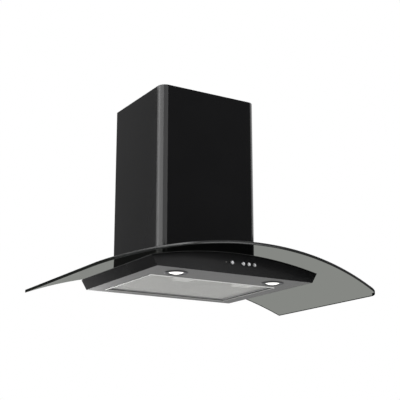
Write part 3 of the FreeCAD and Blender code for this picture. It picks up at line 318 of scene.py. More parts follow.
def smokedGlass(name, tint):
    # Grey tempered glass: clear, neutral, and darker where one looks through it, with hardly a mirror
    # image from below. Lamps shine through it with the same tint.
    made, tree = emptyMaterial(name)
    body = add(tree, "ShaderNodeBsdfPrincipled", {
        "Base Color": colour(tint), "Roughness": 0.0, "IOR": 1.0005, "Transmission Weight": 1.0})
    passing = add(tree, "ShaderNodeBsdfTransparent", {"Color": colour(tint)})
    path = add(tree, "ShaderNodeLightPath")
    mixed = add(tree, "ShaderNodeMixShader", {0: path.outputs["Is Shadow Ray"], 1: body, 2: passing})
    add(tree, "ShaderNodeOutputMaterial", {"Surface": mixed})
    return made


def expandedMetal(name, slit):
    # Sheets behind the strands: aluminium with slits of more expanded metal, dark as painted shade.
    made, tree = emptyMaterial(name)
    cells = add(tree, "ShaderNodeTexVoronoi", {"Vector": placeIn(tree, slit), "Scale": 1.0},
                feature="DISTANCE_TO_EDGE")
    # Darker middles of the cells: painted shade, the dim depth seen through the slits.
    tones = tonesOf(tree, cells.outputs["Distance"], (0.1, "#dadad8"), (0.3, "#a0a09e"))
    shader = add(tree, "ShaderNodeBsdfPrincipled", {
        "Base Color": tones, "Metallic": 1.0, "Roughness": 0.45})
    add(tree, "ShaderNodeOutputMaterial", {"Surface": shader})
    return made


def glowing(name, tint, strength, grain):
    # A lit lens of frosted glass: its light is soft, with a slight ripple.
    made, tree = emptyMaterial(name)
    power = spread(tree, grainAt(tree, grain), strength * 0.9, strength)
    shader = add(tree, "ShaderNodeBsdfPrincipled", {
        "Base Color": colour("#e8e8e4"), "Roughness": 0.35, "Emission Color": colour(tint),
        "Emission Strength": power})
    add(tree, "ShaderNodeOutputMaterial", {"Surface": shader})
    return made


# Near-black enamel on smooth sheet steel: a deep body colour with a faint orange peel that softens
# what it mirrors, brighter only at a flat angle.
blackSteel = finish("blackPaintedSteel", "#151516", "#131314", 160, (0.045, 0.06), 0.0004,
                    6, mirror=0.034)
# The same enamel on the folded body, sprayed a little duller.
bodySteel = finish("blackPaintedBody", "#141415", "#121213", 160, (0.2, 0.26), 0.002, 6, mirror=0.035)
# Brushed stainless steel: fine lines from side to side that stretch every highlight along Y.
satinSteel = finish("brushedStainlessSteel", "#585857", "#525251", (60, 0.5, 20), (0.34, 0.46), 0.006,
                    (90, 0.35, 20), metal=1.0)
# The bead's outer side is coloured near white, far paler than the tray: a painted highlight line.
beadHighlightSteel = finish("rolledEdgePaintedHighlight", "#f4f4f2", "#e9e9e7", 60, (0.16, 0.24), metal=1.0)
# Its inner side is a dimmer copy of that painted highlight, still paler than the tray.
beadDimHighlightSteel = finish("rolledEdgeDimPaintedHighlight", "#a2a2a0", "#969694", 60, (0.3, 0.4), metal=1.0)
# Edge of the glass: ground and polished, so dark green-grey depths and a bright mirror line.
glassEdge = finish("polishedGlassEdge", "#131514", "#0e100f", (40, 40, 2), (0.08, 0.16), mirror=0.15)
smoked = smokedGlass("smokedTemperedGlass", "#858783")
# Ground edges of the glass: matt, with the same dark depth.
groundEdge = finish("groundGlassEdge", "#272927", "#212321", 20, (0.6, 0.7), mirror=0.0)
# Rubber: dull, almost black, with a little dust.
rubber = finish("blackRubber", "#1c1c1d", "#151516", 8, (0.65, 0.8), 0.02, 1.5)
# Zinc coat with its patchwork of crystals, lighter and darker.
galvanised = finish("galvanisedSteel", "#a9acae", "#979a9c", 12, (0.45, 0.6), 0.003, 3, metal=1.0)
# Bright zinc on small screws and wire.
zinc = finish("zincPlatedScrews", "#a8aaab", "#97999b", 3, (0.3, 0.42), metal=1.0)
# Moulded plastic with a fine spark-eroded grain.
blackPlastic = finish("mouldedBlackPlastic", "#202123", "#1a1b1c", 30, (0.45, 0.58), 0.012, 0.9)
whitePlastic = finish("mouldedWhitePlastic", "#dcdcd8", "#cfcfca", 30, (0.4, 0.5), 0.01, 1)
# Turned and ground shaft, with rings round it.
groundSteel = finish("groundSteelShaft", "#a9abad", "#97999b", (0.4, 20, 20), (0.15, 0.25), metal=1.0)
# Motor can in a dull blue-grey enamel.
motorEnamel = finish("motorEnamel", "#43484e", "#3b4046", 15, (0.4, 0.5), 0.01, 2)
# Bearing rings: porous bronze, warm and matt.
bronze = finish("sinteredBronze", "#9a7a4e", "#856739", 1.5, (0.5, 0.65), 0.02, 0.5, metal=1.0)
# Capacitor in white polyester film.
capacitorFilm = finish("capacitorCan", "#d8d8d2", "#cdcdc6", 40, (0.25, 0.35))
# Push buttons: turned nickel, satin face.
buttonMetal = finish("satinNickelCaps", "#787879", "#69696a", (2, 6, 0.25), (0.28, 0.38), 0.002,
                     (2, 6, 0.25), metal=1.0)
# Board in green solder resist with its copper showing as lighter tracks.
circuitBoard = finish("greenCircuitBoard", "#1e6a3c", "#175730", (9, 9, 1.2), (0.3, 0.42), 0.03,
                      (6, 6, 0.8))
# Pilot light: smoky lens that is off.
pilotPlastic = finish("pilotLightLens", "#4a4644", "#403c3a", 3, (0.12, 0.2))
# Lamp rims: aluminium turned to a satin ring, coloured dark as painted shade round each lens.
rimPaintedShadeMetal = finish("lampRimPaintedShade", "#46474a", "#3c3d40", 3, (0.42, 0.52), 0.003, 0.6, metal=1.0)
lensGlow = glowing("litFrostedGlass", "#fffdf8", 1.35, 20)
# Lamp can: spun aluminium.
canAluminium = finish("spunAluminiumCan", "#b9bbbd", "#a4a6a8", (20, 20, 0.6), (0.3, 0.42), metal=1.0)
# Filter frame: drawn aluminium with faint lines along it.
filterAluminium = finish("drawnAluminiumFrame", "#b4b5b6", "#a5a6a7", (30, 30, 0.5), (0.3, 0.42),
                         0.004, (50, 0.5, 0.5), metal=1.0)
# Strands of the mesh: raw cut aluminium, each catching the light a little differently.
strandAluminium = finish("expandedAluminiumStrands", "#ececea", "#dbdbd9", (4, 1.5, 1.5),
                         (0.35, 0.5), metal=1.0)
# The sheets' darker slits are painted shade.
meshSheets = expandedMetal("layeredAluminiumMeshPaintedShade", (7, 2.5, 1000))
# Latches: satin chrome on die-cast grips.
latchMetal = finish("satinChromeLatch", "#e8e8e6", "#dededc", 30, (0.36, 0.42), metal=1.0)
print("materials made")


archShape = {"halfWidth": 450, "rise": 86.5, "crown": 59.5, "side": 503, "bow": 56, "gap": 6}
archRadius = (archShape["halfWidth"] ** 2 + archShape["rise"] ** 2) / (2 * archShape["rise"])
bowRadius = (archShape["halfWidth"] ** 2 + archShape["bow"] ** 2) / (2 * archShape["bow"])


def archHeight(x, above):
    # The glass is bent to a circle about an axis along Y. Height, at `x`, of the circle that lies
    # `above` its underside: centre height plus the root of (radius + above) squared minus x squared.
    return archShape["crown"] - archRadius + np.sqrt((archRadius + above) ** 2 - x ** 2)


def makeGlass():
    size = {"thickness": 8, "corner": 35, "rearCorner": 3, "arris": 1.3, "cutoutX": (-140, 140),
            "cutoutY": (-261, -23), "cutoutCorner": 4, "holeRadius": 3.25, "holeX": (-152, 152),
            "holeY": (-238, -46), "spacing": 10, "gridStart": -560, "lineHeight": 3}
    half, corner, rear = archShape["halfWidth"], size["corner"], -archShape["gap"]
    bowCentre = -archShape["side"] - archShape["bow"] + bowRadius
    # The corner circle touches the side from inside and the bow from inside.
    cornerX = half - corner
    cornerY = bowCentre - math.sqrt((bowRadius - corner) ** 2 - cornerX ** 2)
    lean = math.degrees(math.asin(cornerX / (bowRadius - corner)))
    small = size["rearCorner"]
    outline = np.concatenate([
        quarter((small - half, rear - small), small, 90),
        arcPoints((-cornerX, cornerY), corner, 180, 270 - lean, 14),
        arcPoints((0, bowCentre), bowRadius, -90 - lean, -90 + lean, 90)[1:-1],
        arcPoints((cornerX, cornerY), corner, lean - 90, 0, 14),
        quarter((half - small, rear - small), small, 0),
    ])
    step = size["spacing"]
    cutout = rectangle(size["cutoutX"], size["cutoutY"], size["cutoutCorner"], clockwise=True)
    loops = [split(outline, step), split(cutout, step)]
    loops += [circleLoop(x, y, size["holeRadius"], 24) for x in size["holeX"] for y in size["holeY"]]
    columns, rows = np.arange(-half + step, half, step), np.arange(size["gridStart"], 0, step)
    x, y = np.meshgrid(columns, rows + 0.5 * step)
    inner = np.stack([x.ravel(), y.ravel()], 1)
    rounding = edgeRounding(size["thickness"], size["arris"], 4)
    upper = len(rounding) // 2
    profile = np.concatenate([rounding[:upper], [(0, size["lineHeight"])], rounding[upper:]])

    def lift(x, y, height):
        return np.stack([x, y, archHeight(x, height)], 1)

    parts = plate(loops, [profile] * len(loops), lift, inner, edge=1)
    # The front edge is polished, its corners and the left edge are ground. The rear and right edges
    # are seen through the plate, where the ground lower part of them shows as a dark line.
    points, (faces,), _ = parts[0]
    middle = points[faces].mean(1)
    lowerRight = (np.arange(len(faces)) >= upper * len(loops[0])) & (middle[:, 0] > 0)
    front = middle[:, 1] < cornerY
    polished = front & (abs(middle[:, 0]) < cornerX)
    ground = ~polished & (lowerRight | front | (middle[:, 0] < 1 - half))
    parts[0] = (points, [faces[~polished & ~ground]], 0)
    parts += [(points, [faces[polished]], 1), (points, [faces[ground]], 2)]
    makePiece("smokedGlassCanopy", parts, [smoked, glassEdge, groundEdge], "hood", "smoked_glass",
              ["glass_canopy"], 60)


def bend(s, offset, half, depth, corner):
    # A sheet bent round three sides, with `s` the distance along its outside from the left rear edge
    # and `offset` the depth below it. Its direction turns by a quarter circle over each corner, and
    # the point is the corner's centre plus that direction times the remaining radius.
    side, turn, front = depth - corner, math.pi / 2 * corner, 2 * (half - corner)
    marks = np.cumsum([0, side, turn, front, turn, side])
    angle = math.pi + np.interp(s, marks, [0, 0, math.pi / 2, math.pi / 2, math.pi, math.pi])
    right, near = half - corner, corner - depth
    x = np.interp(s, marks, [-right, -right, -right, right, right, right])
    y = np.interp(s, marks, [0, near, near, near, near, 0])
    return x + (corner - offset) * np.cos(angle), y + (corner - offset) * np.sin(angle), marks


def chimney(half, depth, corner, sheet, low, high, slots=()):
    # The sheet's outline in (distance along the bend, height), with its slots, bent into place. `low`
    # gives the height of its lower edge from the place across the hood. Rows of points down both
    # bends, a margin away from the edges, keep them round.
    margin = 8
    marks = bend(0.0, 0.0, half, depth, corner)[2]
    bends = np.concatenate([np.linspace(marks[i], marks[i + 1], 17) for i in (1, 3)])
    s = np.unique(np.concatenate([np.linspace(0, marks[-1], 90), bends]).round(6))
    x = bend(s, 0.0, half, depth, corner)[0]
    outline = np.concatenate([np.stack([s, low(x)], 1), np.stack([s, 0 * s + high], 1)[::-1]])
    columns, rows = np.meshgrid(bends, np.linspace(low(x).max() + margin, high - margin, 60))
    inner = np.stack([columns.ravel(), rows.ravel()], 1)

    def lift(along, z, offset):
        x, y, _ = bend(along, offset, half, depth, corner)
        return np.stack([x, y, z], 1)

    profile = edgeRounding(sheet, 0.3 * sheet, 2) * np.array([1, -1]) + np.array([0, sheet])
    loops = [outline, *slots]
    return plate(loops, [profile] * len(loops), lift, inner)


def makeChimney():
    size = {"half": 165.5, "depth": 296, "corner": 25, "sheet": 1, "top": 580, "aboveGlass": 8.3,
            "upperInset": 2, "upperLow": 220, "upperHigh": 578, "slots": 6, "slotY": (86, 216),
            "slotTop": 522, "slotHeight": 4, "slotPitch": 12, "slotCorner": 1.9}
    form, sheet = (size["half"], size["depth"], size["corner"]), size["sheet"]
    cover = chimney(*form, sheet, lambda x: archHeight(x, size["aboveGlass"]), size["top"])
    makePiece("chimneyCover", cover, [blackSteel], "hood", "black_painted_steel", ["lower_chimney"], 60)
    form = [each - size["upperInset"] for each in form]
    length = bend(0.0, 0.0, *form)[2][-1]
    near, far = size["slotY"]
    slots = []
    for i in range(size["slots"]):
        high = size["slotTop"] - i * size["slotPitch"]
        z = (high - size["slotHeight"], high)
        for span in ((near, far), (length - far, length - near)):
            slots.append(rectangle(span, z, size["slotCorner"], clockwise=True))
    upper = chimney(*form, sheet, lambda x: 0 * x + size["upperLow"], size["upperHigh"], slots)
    makePiece("upperChimneySection", upper, [blackSteel], "upper_chimney", "black_painted_steel",
              ["upper_chimney"], 60)


bodyShape = {"half": 254, "depth": 445, "flare": 18, "flareHeight": 29.5, "sheet": 1.2, "seal": 1.5,
             "flange": 14, "flangeEnd": 1.5, "flangeReturn": -3, "rounding": 0.35}


def flaredHalf(z):
    return bodyShape["half"] + bodyShape["flare"] * z / bodyShape["flareHeight"]


def sealHeight(x):
    # Underside of the seal that the glass lies on.
    return archHeight(x, -bodyShape["seal"])


def sideTop(count):
    # Where a flared side meets the seal: the best of `count` heights.
    heights = np.linspace(0, 55, count)
    return heights[np.argmin(abs(sealHeight(flaredHalf(heights)) - heights))]


def endPanel(name, node, outside, inwardSign, holes):
    # A panel across the body: straight foot, flared sides and an arched top edge that is folded in
    # under the glass. `outside` is its outer face's place, `inwardSign` the way its flange points.
    half, sheet, reach = bodyShape["half"], bodyShape["sheet"], bodyShape["flange"]
    topHalf = flaredHalf(sideTop(200))
    x = np.linspace(topHalf, -topHalf, 61)
    outline = np.concatenate([[(-half, 0), (half, 0)], np.stack([x, sealHeight(x)], 1)])
    loops = [outline, *holes]
    profile = edgeRounding(sheet, bodyShape["rounding"], 2)

    def lift(x, z, depth):
        return np.stack([x, outside + inwardSign * (sheet - depth), z], 1)

    parts = plate(loops, [profile] * len(loops), lift)
    # The flange's section is carried along the arch: its outer bend, the strip and the return.
    low = bodyShape["flangeReturn"]
    corners = [(0, 0), (reach, 0), (reach, -sheet), (sheet, -sheet), (sheet, low), (0, low)]
    section = closedProfile(corners, 0.5, 3)
    end = topHalf - bodyShape["flangeEnd"]
    across = np.linspace(-end, end, 61)[:, None]
    height = sealHeight(across) + section[None, :, 1]
    depth = outside + inwardSign * section[None, :, 0]
    parts.append(sweep(np.stack(np.broadcast_arrays(across, depth, height), -1)))
    makePiece(name, parts, [bodySteel], "hood", "black_painted_steel", [node], 50)


controls = {"height": 31, "first": -22, "places": (0, 2, 3, 4), "pitch": 18.5, "holeRadius": 5.9,
            "pilotX": -40.5, "pilotRadius": 2.1}
buttonPlaces = [controls["first"] + place * controls["pitch"] for place in controls["places"]]


def makeBody():
    size = {"holeX": (-200, 200), "holeHeight": 16, "holeRadius": 3, "sideCorner": 0.4}
    depth, sheet = bodyShape["depth"], bodyShape["sheet"]
    holes = [circleLoop(x, controls["height"], controls["holeRadius"], 40) for x in buttonPlaces]
    holes.append(circleLoop(controls["pilotX"], controls["height"], controls["pilotRadius"], 24))
    endPanel("controlPanel", "front_panel", -depth, 1, holes)
    holes = [circleLoop(x, size["holeHeight"], size["holeRadius"], 24) for x in size["holeX"]]
    endPanel("rearPanel", "back_panel", 0, -1, holes)
    outline = rectangle((-depth + sheet, -sheet), (0, sideTop(2000)), size["sideCorner"], 2)
    for side, sign in sides:

        def lift(y, z, inset):
            return np.stack([sign * (flaredHalf(z) - (sheet - inset)), y, z], 1)

        parts = plate([outline], [edgeRounding(sheet, bodyShape["rounding"], 2)], lift)
        makePiece(f"{side}SidePanel", parts, [bodySteel], "hood", "black_painted_steel",
                  [f"side_panel_{side}"], 50)


def makeUnderside():
    # The tray's outer edges are cut. Round the filter opening its sheet is rolled: a bead, then a lip.
    size = {"x": (-252.8, 252.8), "y": (-443.8, -1.2), "corner": 0.8, "openingX": (-205, 205),
            "openingY": (-320, -40), "openingCorner": 2.2, "bead": 2.2, "beadDrop": 1.8,
            "bendRadius": 2, "lipTop": 10, "lipSoft": 0.3, "lampX": (-160, 160), "lampY": -379,
            "lampRadius": 29, "sheet": 1}
    sheet, turn, bead = size["sheet"], size["bendRadius"], size["bead"]
    top, soft = size["lipTop"], size["lipSoft"]
    outline = rectangle(size["x"], size["y"], size["corner"], 2)
    opening = rectangle(size["openingX"], size["openingY"], size["openingCorner"], clockwise=True)
    lamps = [circleLoop(x, size["lampY"], size["lampRadius"], 64) for x in size["lampX"]]
    cutEdge = edgeRounding(sheet, soft, 2)[::-1]
    # The bead starts where its circle meets the sheet, is lowest at its radius and ends in the lip.
    centre = (bead, bead - size["beadDrop"])
    startAngle = -math.degrees(math.asin(centre[1] / bead))
    outerSide = arcPoints(centre, bead, startAngle, -90, 8)
    innerSide = arcPoints(centre, bead, -90, -180, 8)[1:]
    lip = [(0, top - soft), (soft, top), (sheet - soft, top), (sheet, top - soft)]
    underBend = quarter((turn, turn), turn - sheet, 180)
    rolled = np.concatenate([outerSide, innerSide, lip, underBend, [(outerSide[0, 0], sheet)]])

    def lift(x, y, z):
        return np.stack([x, y, z], 1)

    parts = plate([outline, opening, *lamps], [cutEdge, rolled, cutEdge, cutEdge], lift)
    points, (faces,), _ = parts[1]
    ends = np.cumsum([len(outerSide) - 1, len(innerSide)]) * len(opening)
    # The bead's outer faces carry the painted highlight, its inner faces the dimmer copy of it.
    polished, drawn, rest = np.split(faces, ends)
    parts[1] = (points, [rest], 0)
    parts += [(points, [polished], 1), (points, [drawn], 2)]
    makePiece("undersideTray", parts, [satinSteel, beadHighlightSteel, beadDimHighlightSteel], "hood", "satin_steel",
              ["underside_panel"], 50)


filterShape = {"half": 202.5, "front": -318, "rear": -43, "low": 1.7, "high": 9.6, "border": 7,
               "wall": 0.9, "latchX": 100, "slotHalf": 11, "slotRear": -299, "slotTop": 7.4}


def frameSection():
    # Channel that opens to the mesh, as (distance in from the frame's outside, height): its foot, its
    # outer wall and its top, in one rolled strip.
    low, high, border, wall = (filterShape[key] for key in ("low", "high", "border", "wall"))
    corners = [(0, low), (border, low), (border, low + wall), (wall, low + wall),
               (wall, high - wall), (border, high - wall), (border, high), (0, high)]
    return closedProfile(corners, 0.6, 3)


def frameBar(start, end, normal, section, mitres=(1, 1)):
    # One side of the frame between two outer corners, with its ends cut at 45 degrees where they meet
    # another side: the section moves along the bar by its own distance in from the outside. A
    # hairline gap stays between the sides.
    gap = 0.08
    start, end, normal = (np.array(each, float) for each in (start, end, normal))
    along = (end - start) / np.linalg.norm(end - start)
    inset = section[:, :1]
    first = start + normal * inset + along * (inset * mitres[0] + gap)
    last = end + normal * inset - along * (inset * mitres[1] + gap)
    heights = np.broadcast_to(section[None, :, 1:], (2, len(section), 1))
    return sweep(np.concatenate([np.stack([first, last]), heights], -1))


def makeFilter():
    half, front, rear = filterShape["half"], filterShape["front"], filterShape["rear"]
    high, border, slotTop = filterShape["high"], filterShape["border"], filterShape["slotTop"]
    pin = {"profile": [(0, 0), (1.7, 0), (2, 0.3), (2, 4.2), (1.7, 4.5), (0, 4.5)],
           "start": half - 1, "y": -48, "height": 5.1}
    section = frameSection()
    parts = [
        frameBar((half, rear), (-half, rear), (0, -1), section),
        frameBar((-half, rear), (-half, front), (1, 0), section),
        frameBar((half, front), (half, rear), (-1, 0), section),
    ]
    # The front side is cut away at each latch up to the slot's top, where only its roof goes through.
    latchX, slotHalf = filterShape["latchX"], filterShape["slotHalf"]
    slots = [sign * latchX + edge * slotHalf for sign in (-1, 1) for edge in (-1, 1)]
    stops = [-half, *slots, half]
    for left, right, mitres in zip(stops[::2], stops[1::2], ((1, 0), (0, 0), (0, 1))):
        parts.append(frameBar((left, front), (right, front), (0, 1), section, mitres))
    roof = closedProfile([(0, slotTop), (border, slotTop + 1.3), (border, high), (0, high)], 0.3, 2)
    for left, right in (slots[:2], slots[2:]):
        parts.append(frameBar((left, front), (right, front), (0, 1), roof, (0, 0)))
    for _, sign in sides:
        points, faces, material = lathe(pin["profile"], (0, 0, 0), count=24)
        x = sign * (pin["start"] + points[:, 2])
        turned = np.stack([x, points[:, 0] + pin["y"], points[:, 1] + pin["height"]], 1)
        parts.append((turned, faces, material))
    makePiece("filterFrame", parts, [filterAluminium], "filter", "filter_aluminium",
              ["filter_frame"], 40)


def makeMesh():
    # Expanded metal. Each strand runs across the filter in a zigzag with flattened turns, and its
    # neighbour is its mirror image, so they touch at the turns and leave diamonds between them. Behind
    # it lie two plain layers of the same metal.
    size = {"pitch": 3.0, "period": 12.0, "flatten": 1.35, "width": 0.9, "thickness": 0.55,
            "low": 2.8, "rise": 0.5, "overlap": 0.1, "layers": ((4.9, 5.5), (7.9, 8.6))}
    border = filterShape["border"]
    half = filterShape["half"] - border
    front, rear = filterShape["front"] + border, filterShape["rear"] - border
    count = int((rear - front) // size["pitch"])
    strands = front + (rear - front) * (np.arange(count) + 0.5) / count
    sign = np.where(np.arange(count) % 2, 1, -1)
    reach = (rear - front) / count / 2 - size["width"] / 2 + size["overlap"]
    # The section rises and falls with the zigzag: the strand is lower where it swings to the front.
    section = np.array([(-0.5, 0), (0.5, 0), (0.5, 1), (-0.5, 1)])

    def strandPart(span, chosen):
        x = np.linspace(*span, round((span[1] - span[0]) / size["period"] * 6) + 1)
        zigzag = np.arcsin(np.cos(2 * math.pi * x / size["period"])) * 2 / math.pi
        swing = sign[chosen, None] * np.clip(zigzag * size["flatten"], -1, 1)[None]
        y = (strands[chosen, None] + swing * reach)[..., None] + section[:, 0] * size["width"]
        lean = size["rise"] * (swing * 0.5 + 0.5)[..., None]
        z = size["low"] + lean + section[:, 1] * size["thickness"]
        points = np.stack([np.broadcast_to(x[None, :, None], y.shape), y, z], -1)
        first = (np.arange(len(y)) * len(x) * 4)[:, None]
        skin = (gridFaces(len(x), 4)[None] + first[:, None]).reshape(-1, 4)
        caps = [first + np.arange(4)[::-1], first + (len(x) - 1) * 4 + np.arange(4)]
        return (points.reshape(-1, 3), [skin, *caps], 0)

    # The first strands stop on both sides of each latch.
    latchX, slotHalf, notch = (filterShape[key] for key in ("latchX", "slotHalf", "slotRear"))
    cut = strands < notch + size["pitch"]
    near, far = latchX - slotHalf - 1, latchX + slotHalf + 1
    parts = [strandPart((-half, half), ~cut)]
    parts += [strandPart(span, cut) for span in ((-half, -far), (-near, near), (far, half))]
    for low, high in size["layers"]:
        outline = [(-half, rear), (-half, front)]
        if low < filterShape["slotTop"]:
            for _, side in sides:
                left, right = side * latchX - slotHalf, side * latchX + slotHalf
                outline += [(left, front), (left, notch), (right, notch), (right, front)]
        outline += [(half, front), (half, rear)]

        def lift(x, y, z):
            return np.stack([x, y, low + z], 1)

        layer = plate([np.array(outline, float)], [edgeRounding(high - low, 0.1, 1)], lift)
        parts += [(points, faces, 1) for points, faces, _ in layer]
    makePiece("expandedMetalMesh", parts, [strandAluminium, meshSheets], "filter",
              "filter_aluminium", ["filter_mesh"], 30)


def makeLatches():
    # A grip with a rolled finger rest: one section across it, drawn from side to side and drawn in at
    # both ends, with the stem and the tongue above.
    size = {"half": 34, "y": (-317.5, -299), "z": (-2.6, 0.3), "restHalf": 28, "restY": (-302, -299),
            "restZ": (-5.5, -0.1), "stemHalf": 10, "stemY": (-317, -311.3), "stemZ": (0, 6.6),
            "tongueY": (-318, -311), "tongueZ": (4.8, 7)}

    def block(y, z, half, radius, steps, soft):
        # Its ends are rounded: over the last `soft` the section shrinks along a quarter circle.
        shrink = 0.28
        section = closedProfile([(y[0], z[0]), (y[1], z[0]), (y[1], z[1]), (y[0], z[1])], radius, steps)
        rise = soft * (1 - np.sin(np.linspace(0, math.pi / 2, 6)))
        x = np.sort(np.concatenate([rise - half, half - rise]))
        short = np.clip((abs(x) - (half - soft)) / soft, 0, 1)
        scale = 1 - shrink * (1 - np.sqrt(1 - short ** 2))
        middle = section.mean(0)
        moved = middle + (section - middle)[None] * scale[:, None, None]
        return np.concatenate([np.broadcast_to(x[:, None, None], (*moved.shape[:2], 1)), moved], -1)

    blocks = [
        block(size["y"], size["z"], size["half"], 1.1, 4, 2.5),
        block(size["restY"], size["restZ"], size["restHalf"], 1.2, 4, 2),
        block(size["stemY"], size["stemZ"], size["stemHalf"], 0.4, 2, 0.4),
        block(size["tongueY"], size["tongueZ"], size["stemHalf"], 0.4, 2, 0.4),
    ]
    for side, sign in sides:
        parts = [sweep(each + np.array([sign * filterShape["latchX"], 0, 0])) for each in blocks]
        makePiece(f"{side}FilterLatch", parts, [latchMetal], f"latch_{side}", "latch_metal",
                  [f"filter_latch_{side}"], 40)


def makeSprings():
    # A coil behind each latch. The middle of the wire goes round a circle as it moves on, and the
    # wire's own circle is square to that path.
    size = {"wire": 0.35, "coil": 1.9, "turns": 5, "height": 4.4, "y": (-310.55, -300.85),
            "end": -300.3, "shortest": 0.52}
    turn = np.linspace(0, 2 * math.pi * size["turns"], size["turns"] * 28 + 1)
    outward = np.stack([np.cos(turn), 0 * turn, np.sin(turn)], 1)
    onward = np.stack([0 * turn, np.linspace(*size["y"], len(turn)), 0 * turn], 1)
    path = size["coil"] * outward + onward
    along = np.gradient(path, axis=0)
    along /= np.linalg.norm(along, axis=1)[:, None]
    square = np.cross(along, outward)
    angle = np.linspace(0, 2 * math.pi, 12, endpoint=False)[None, :, None]
    ring = np.cos(angle) * outward[:, None] + np.sin(angle) * square[:, None]
    wire = path[:, None] + size["wire"] * ring
    for side, sign in sides:
        x = sign * filterShape["latchX"]
        parts = [sweep(wire + np.array([x, 0, size["height"]]))]
        spring = makePiece(f"{side}LatchSpring", parts, [zinc], "filter", "zinc_screws",
                           [f"latch_spring_{side}"], 60)
        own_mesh(spring)


def makeButtons():
    size = {"radius": 5.5, "front": -448, "length": 10, "stem": 2, "stemEnd": 19.5, "rim": 0.9,
            "dish": 0.25, "pilotFront": -445.5}
    radius, length, stem, end = (size[key] for key in ("radius", "length", "stem", "stemEnd"))
    edge = quarter((radius - size["rim"], size["rim"]), size["rim"], 270, 6)
    dish = [(0, size["dish"]), (radius * 0.5, size["dish"] * 0.75), (radius - 1.6, 0.06)]
    back = [(radius, length - 1), (radius, length), (stem, length), (stem, end), (0, end)]
    profile = np.concatenate([dish, edge, smoothProfile(back, 0.4, 2)])
    for i, x in enumerate(buttonPlaces, start=1):
        parts = [lathe(profile, (x, size["front"], controls["height"]), toWall=True)]
        makePiece(f"pushButton{i}", parts, [buttonMetal], f"button_{i}", "satin_metal_caps",
                  [f"button_{i}"], 50)
    lens = [(0, 0), (0.9, 0.05), (1.6, 0.25), (1.95, 0.6), (2, 1), (2, 13.7), (1.8, 14), (0, 14)]
    place = (controls["pilotX"], size["pilotFront"], controls["height"])
    makePiece("pilotLight", [lathe(lens, place, toWall=True, count=32)], [pilotPlastic], "hood",
              "pilot_plastic", ["pilot_lens"], 50)


def makeLamps():
    size = {"x": 160, "y": -379, "lens": 21, "lensEdge": 0.9, "bulge": 5}
    rim = smoothProfile([(25.5, 1.2), (21.4, 1.2), (21.4, -0.5), (23.4, -2.2), (30.6, -2.2),
                         (33, -0.7), (33, 0), (28.7, 0), (28.7, 8), (25.5, 8), (25.5, 1.2)], 0.7, 4)
    # The lens is a shallow dome: it falls by its bulge times one minus its share of radius squared.
    share = np.linspace(0, 1, 12)
    fall = size["bulge"] * (1 - share ** 2)
    dome = np.stack([share * size["lens"], size["lensEdge"] - fall], 1)
    lens = np.concatenate([dome, [(21.2, 1.4), (25.5, 1.9), (25.5, 3.4), (0, 3.4)]])
    # The rims are coloured dark as painted shade round the lenses.
    kinds = {"Rim": (rim, 96, rimPaintedShadeMetal, "lamp_rim_metal"),
             "Lens": (lens, 64, lensGlow, "frosted_glass")}
    for side, sign in sides:
        for kind, (profile, count, material, slot) in kinds.items():
            parts = [lathe(profile, (sign * size["x"], size["y"], 0), count=count)]
            makePiece(f"{side}Lamp{kind}", parts, [material], "hood", slot,
                      [f"lamp_{kind.lower()}_{side}"], 50)


# Materials of the nodes that keep their CAD meshes.
keptNodes = {
    rubber: ["glass_seal", "rail_pads"],
    galvanised: ["ceiling_bracket", "cover_brackets", "fan_deck", "glass_rail_left",
                 "glass_rail_right", "wall_bracket", "hanging_hook", "fan_box", "motor_bracket",
                 "capacitor_clip", "impeller"],
    zinc: ["bracket_screws", "glass_screws", "box_screws", "flap_pin"],
    blackPlastic: ["scroll_left_half", "scroll_right_half", "outlet_adapter", "duct_collar",
                   "front_flap", "rear_flap", "junction_box", "junction_box_lid", "cable_gland",
                   "switch_housing"],
    groundSteel: ["impeller_shaft"],
    motorEnamel: ["motor"],
    bronze: ["motor_bearings"],
    whitePlastic: ["lamp_driver", "push_switches"],
    capacitorFilm: ["capacitor"],
    circuitBoard: ["control_board"],
    canAluminium: ["lamp_can_left", "lamp_can_right"],
}


def dressNodes():
    edge = {"width": 0.25, "angle": 50}
    for material, names in keptNodes.items():
        for name in names:
            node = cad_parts[name]
            node.data.materials.clear()
            node.data.materials.append(material)
            soft = node.modifiers.new("brokenEdges", "BEVEL")
            soft.width, soft.segments = edge["width"] * mm, 2
            soft.limit_method, soft.angle_limit = "ANGLE", math.radians(edge["angle"])
            soft.harden_normals = True


def either(tree, first, second):
    return add(tree, "ShaderNodeMath", {0: first, 1: second}, operation="MAXIMUM")


def makeWorld():
    # White all round for the camera, for mirror images and through the glass, and a plain soft light
    # for everything else.
    world = bpy.data.worlds.new("studio")
    bpy.context.scene.world = world
    tree = emptyTree(world)
    ray = add(tree, "ShaderNodeLightPath").outputs
    seen = either(tree, ray["Is Camera Ray"], ray["Is Glossy Ray"])
    seen = either(tree, seen, ray["Is Transmission Ray"])
    dim = add(tree, "ShaderNodeBackground", {"Color": colour("#ffffff"), "Strength": 0.8})
    white = add(tree, "ShaderNodeBackground", {"Color": colour("#ffffff"), "Strength": 1.0})
    mixed = add(tree, "ShaderNodeMixShader", {0: seen, 1: dim, 2: white})
    add(tree, "ShaderNodeOutputWorld", {"Surface": mixed})


def flatSheet(name, corners, material):
    mesh = bpy.data.meshes.new(name)
    mesh.from_pydata(corners, [], [(0, 1, 2, 3)])
    mesh.materials.append(material)
    return newObject(name, mesh)


def makeFlag():
    # A black flag behind on the left, which only mirror images see: it keeps the front of the body's
    # left side as dark as its enamel, while the rear of that side mirrors the card beside the flag.
    size = {"ends": ((-1.18, 2.66), (-2.02, 2.21)), "height": (-1.6, -0.25)}
    (a, b), (low, high) = size["ends"], size["height"]
    velvet = finish("blackVelvet", "#101010", "#0c0c0c", 50, (0.9, 1.0))
    flag = flatSheet("blackFlag", [(*a, low), (*b, low), (*b, high), (*a, high)], velvet)
    flag.visible_camera = flag.visible_diffuse = False
    flag.visible_transmission = flag.visible_shadow = False


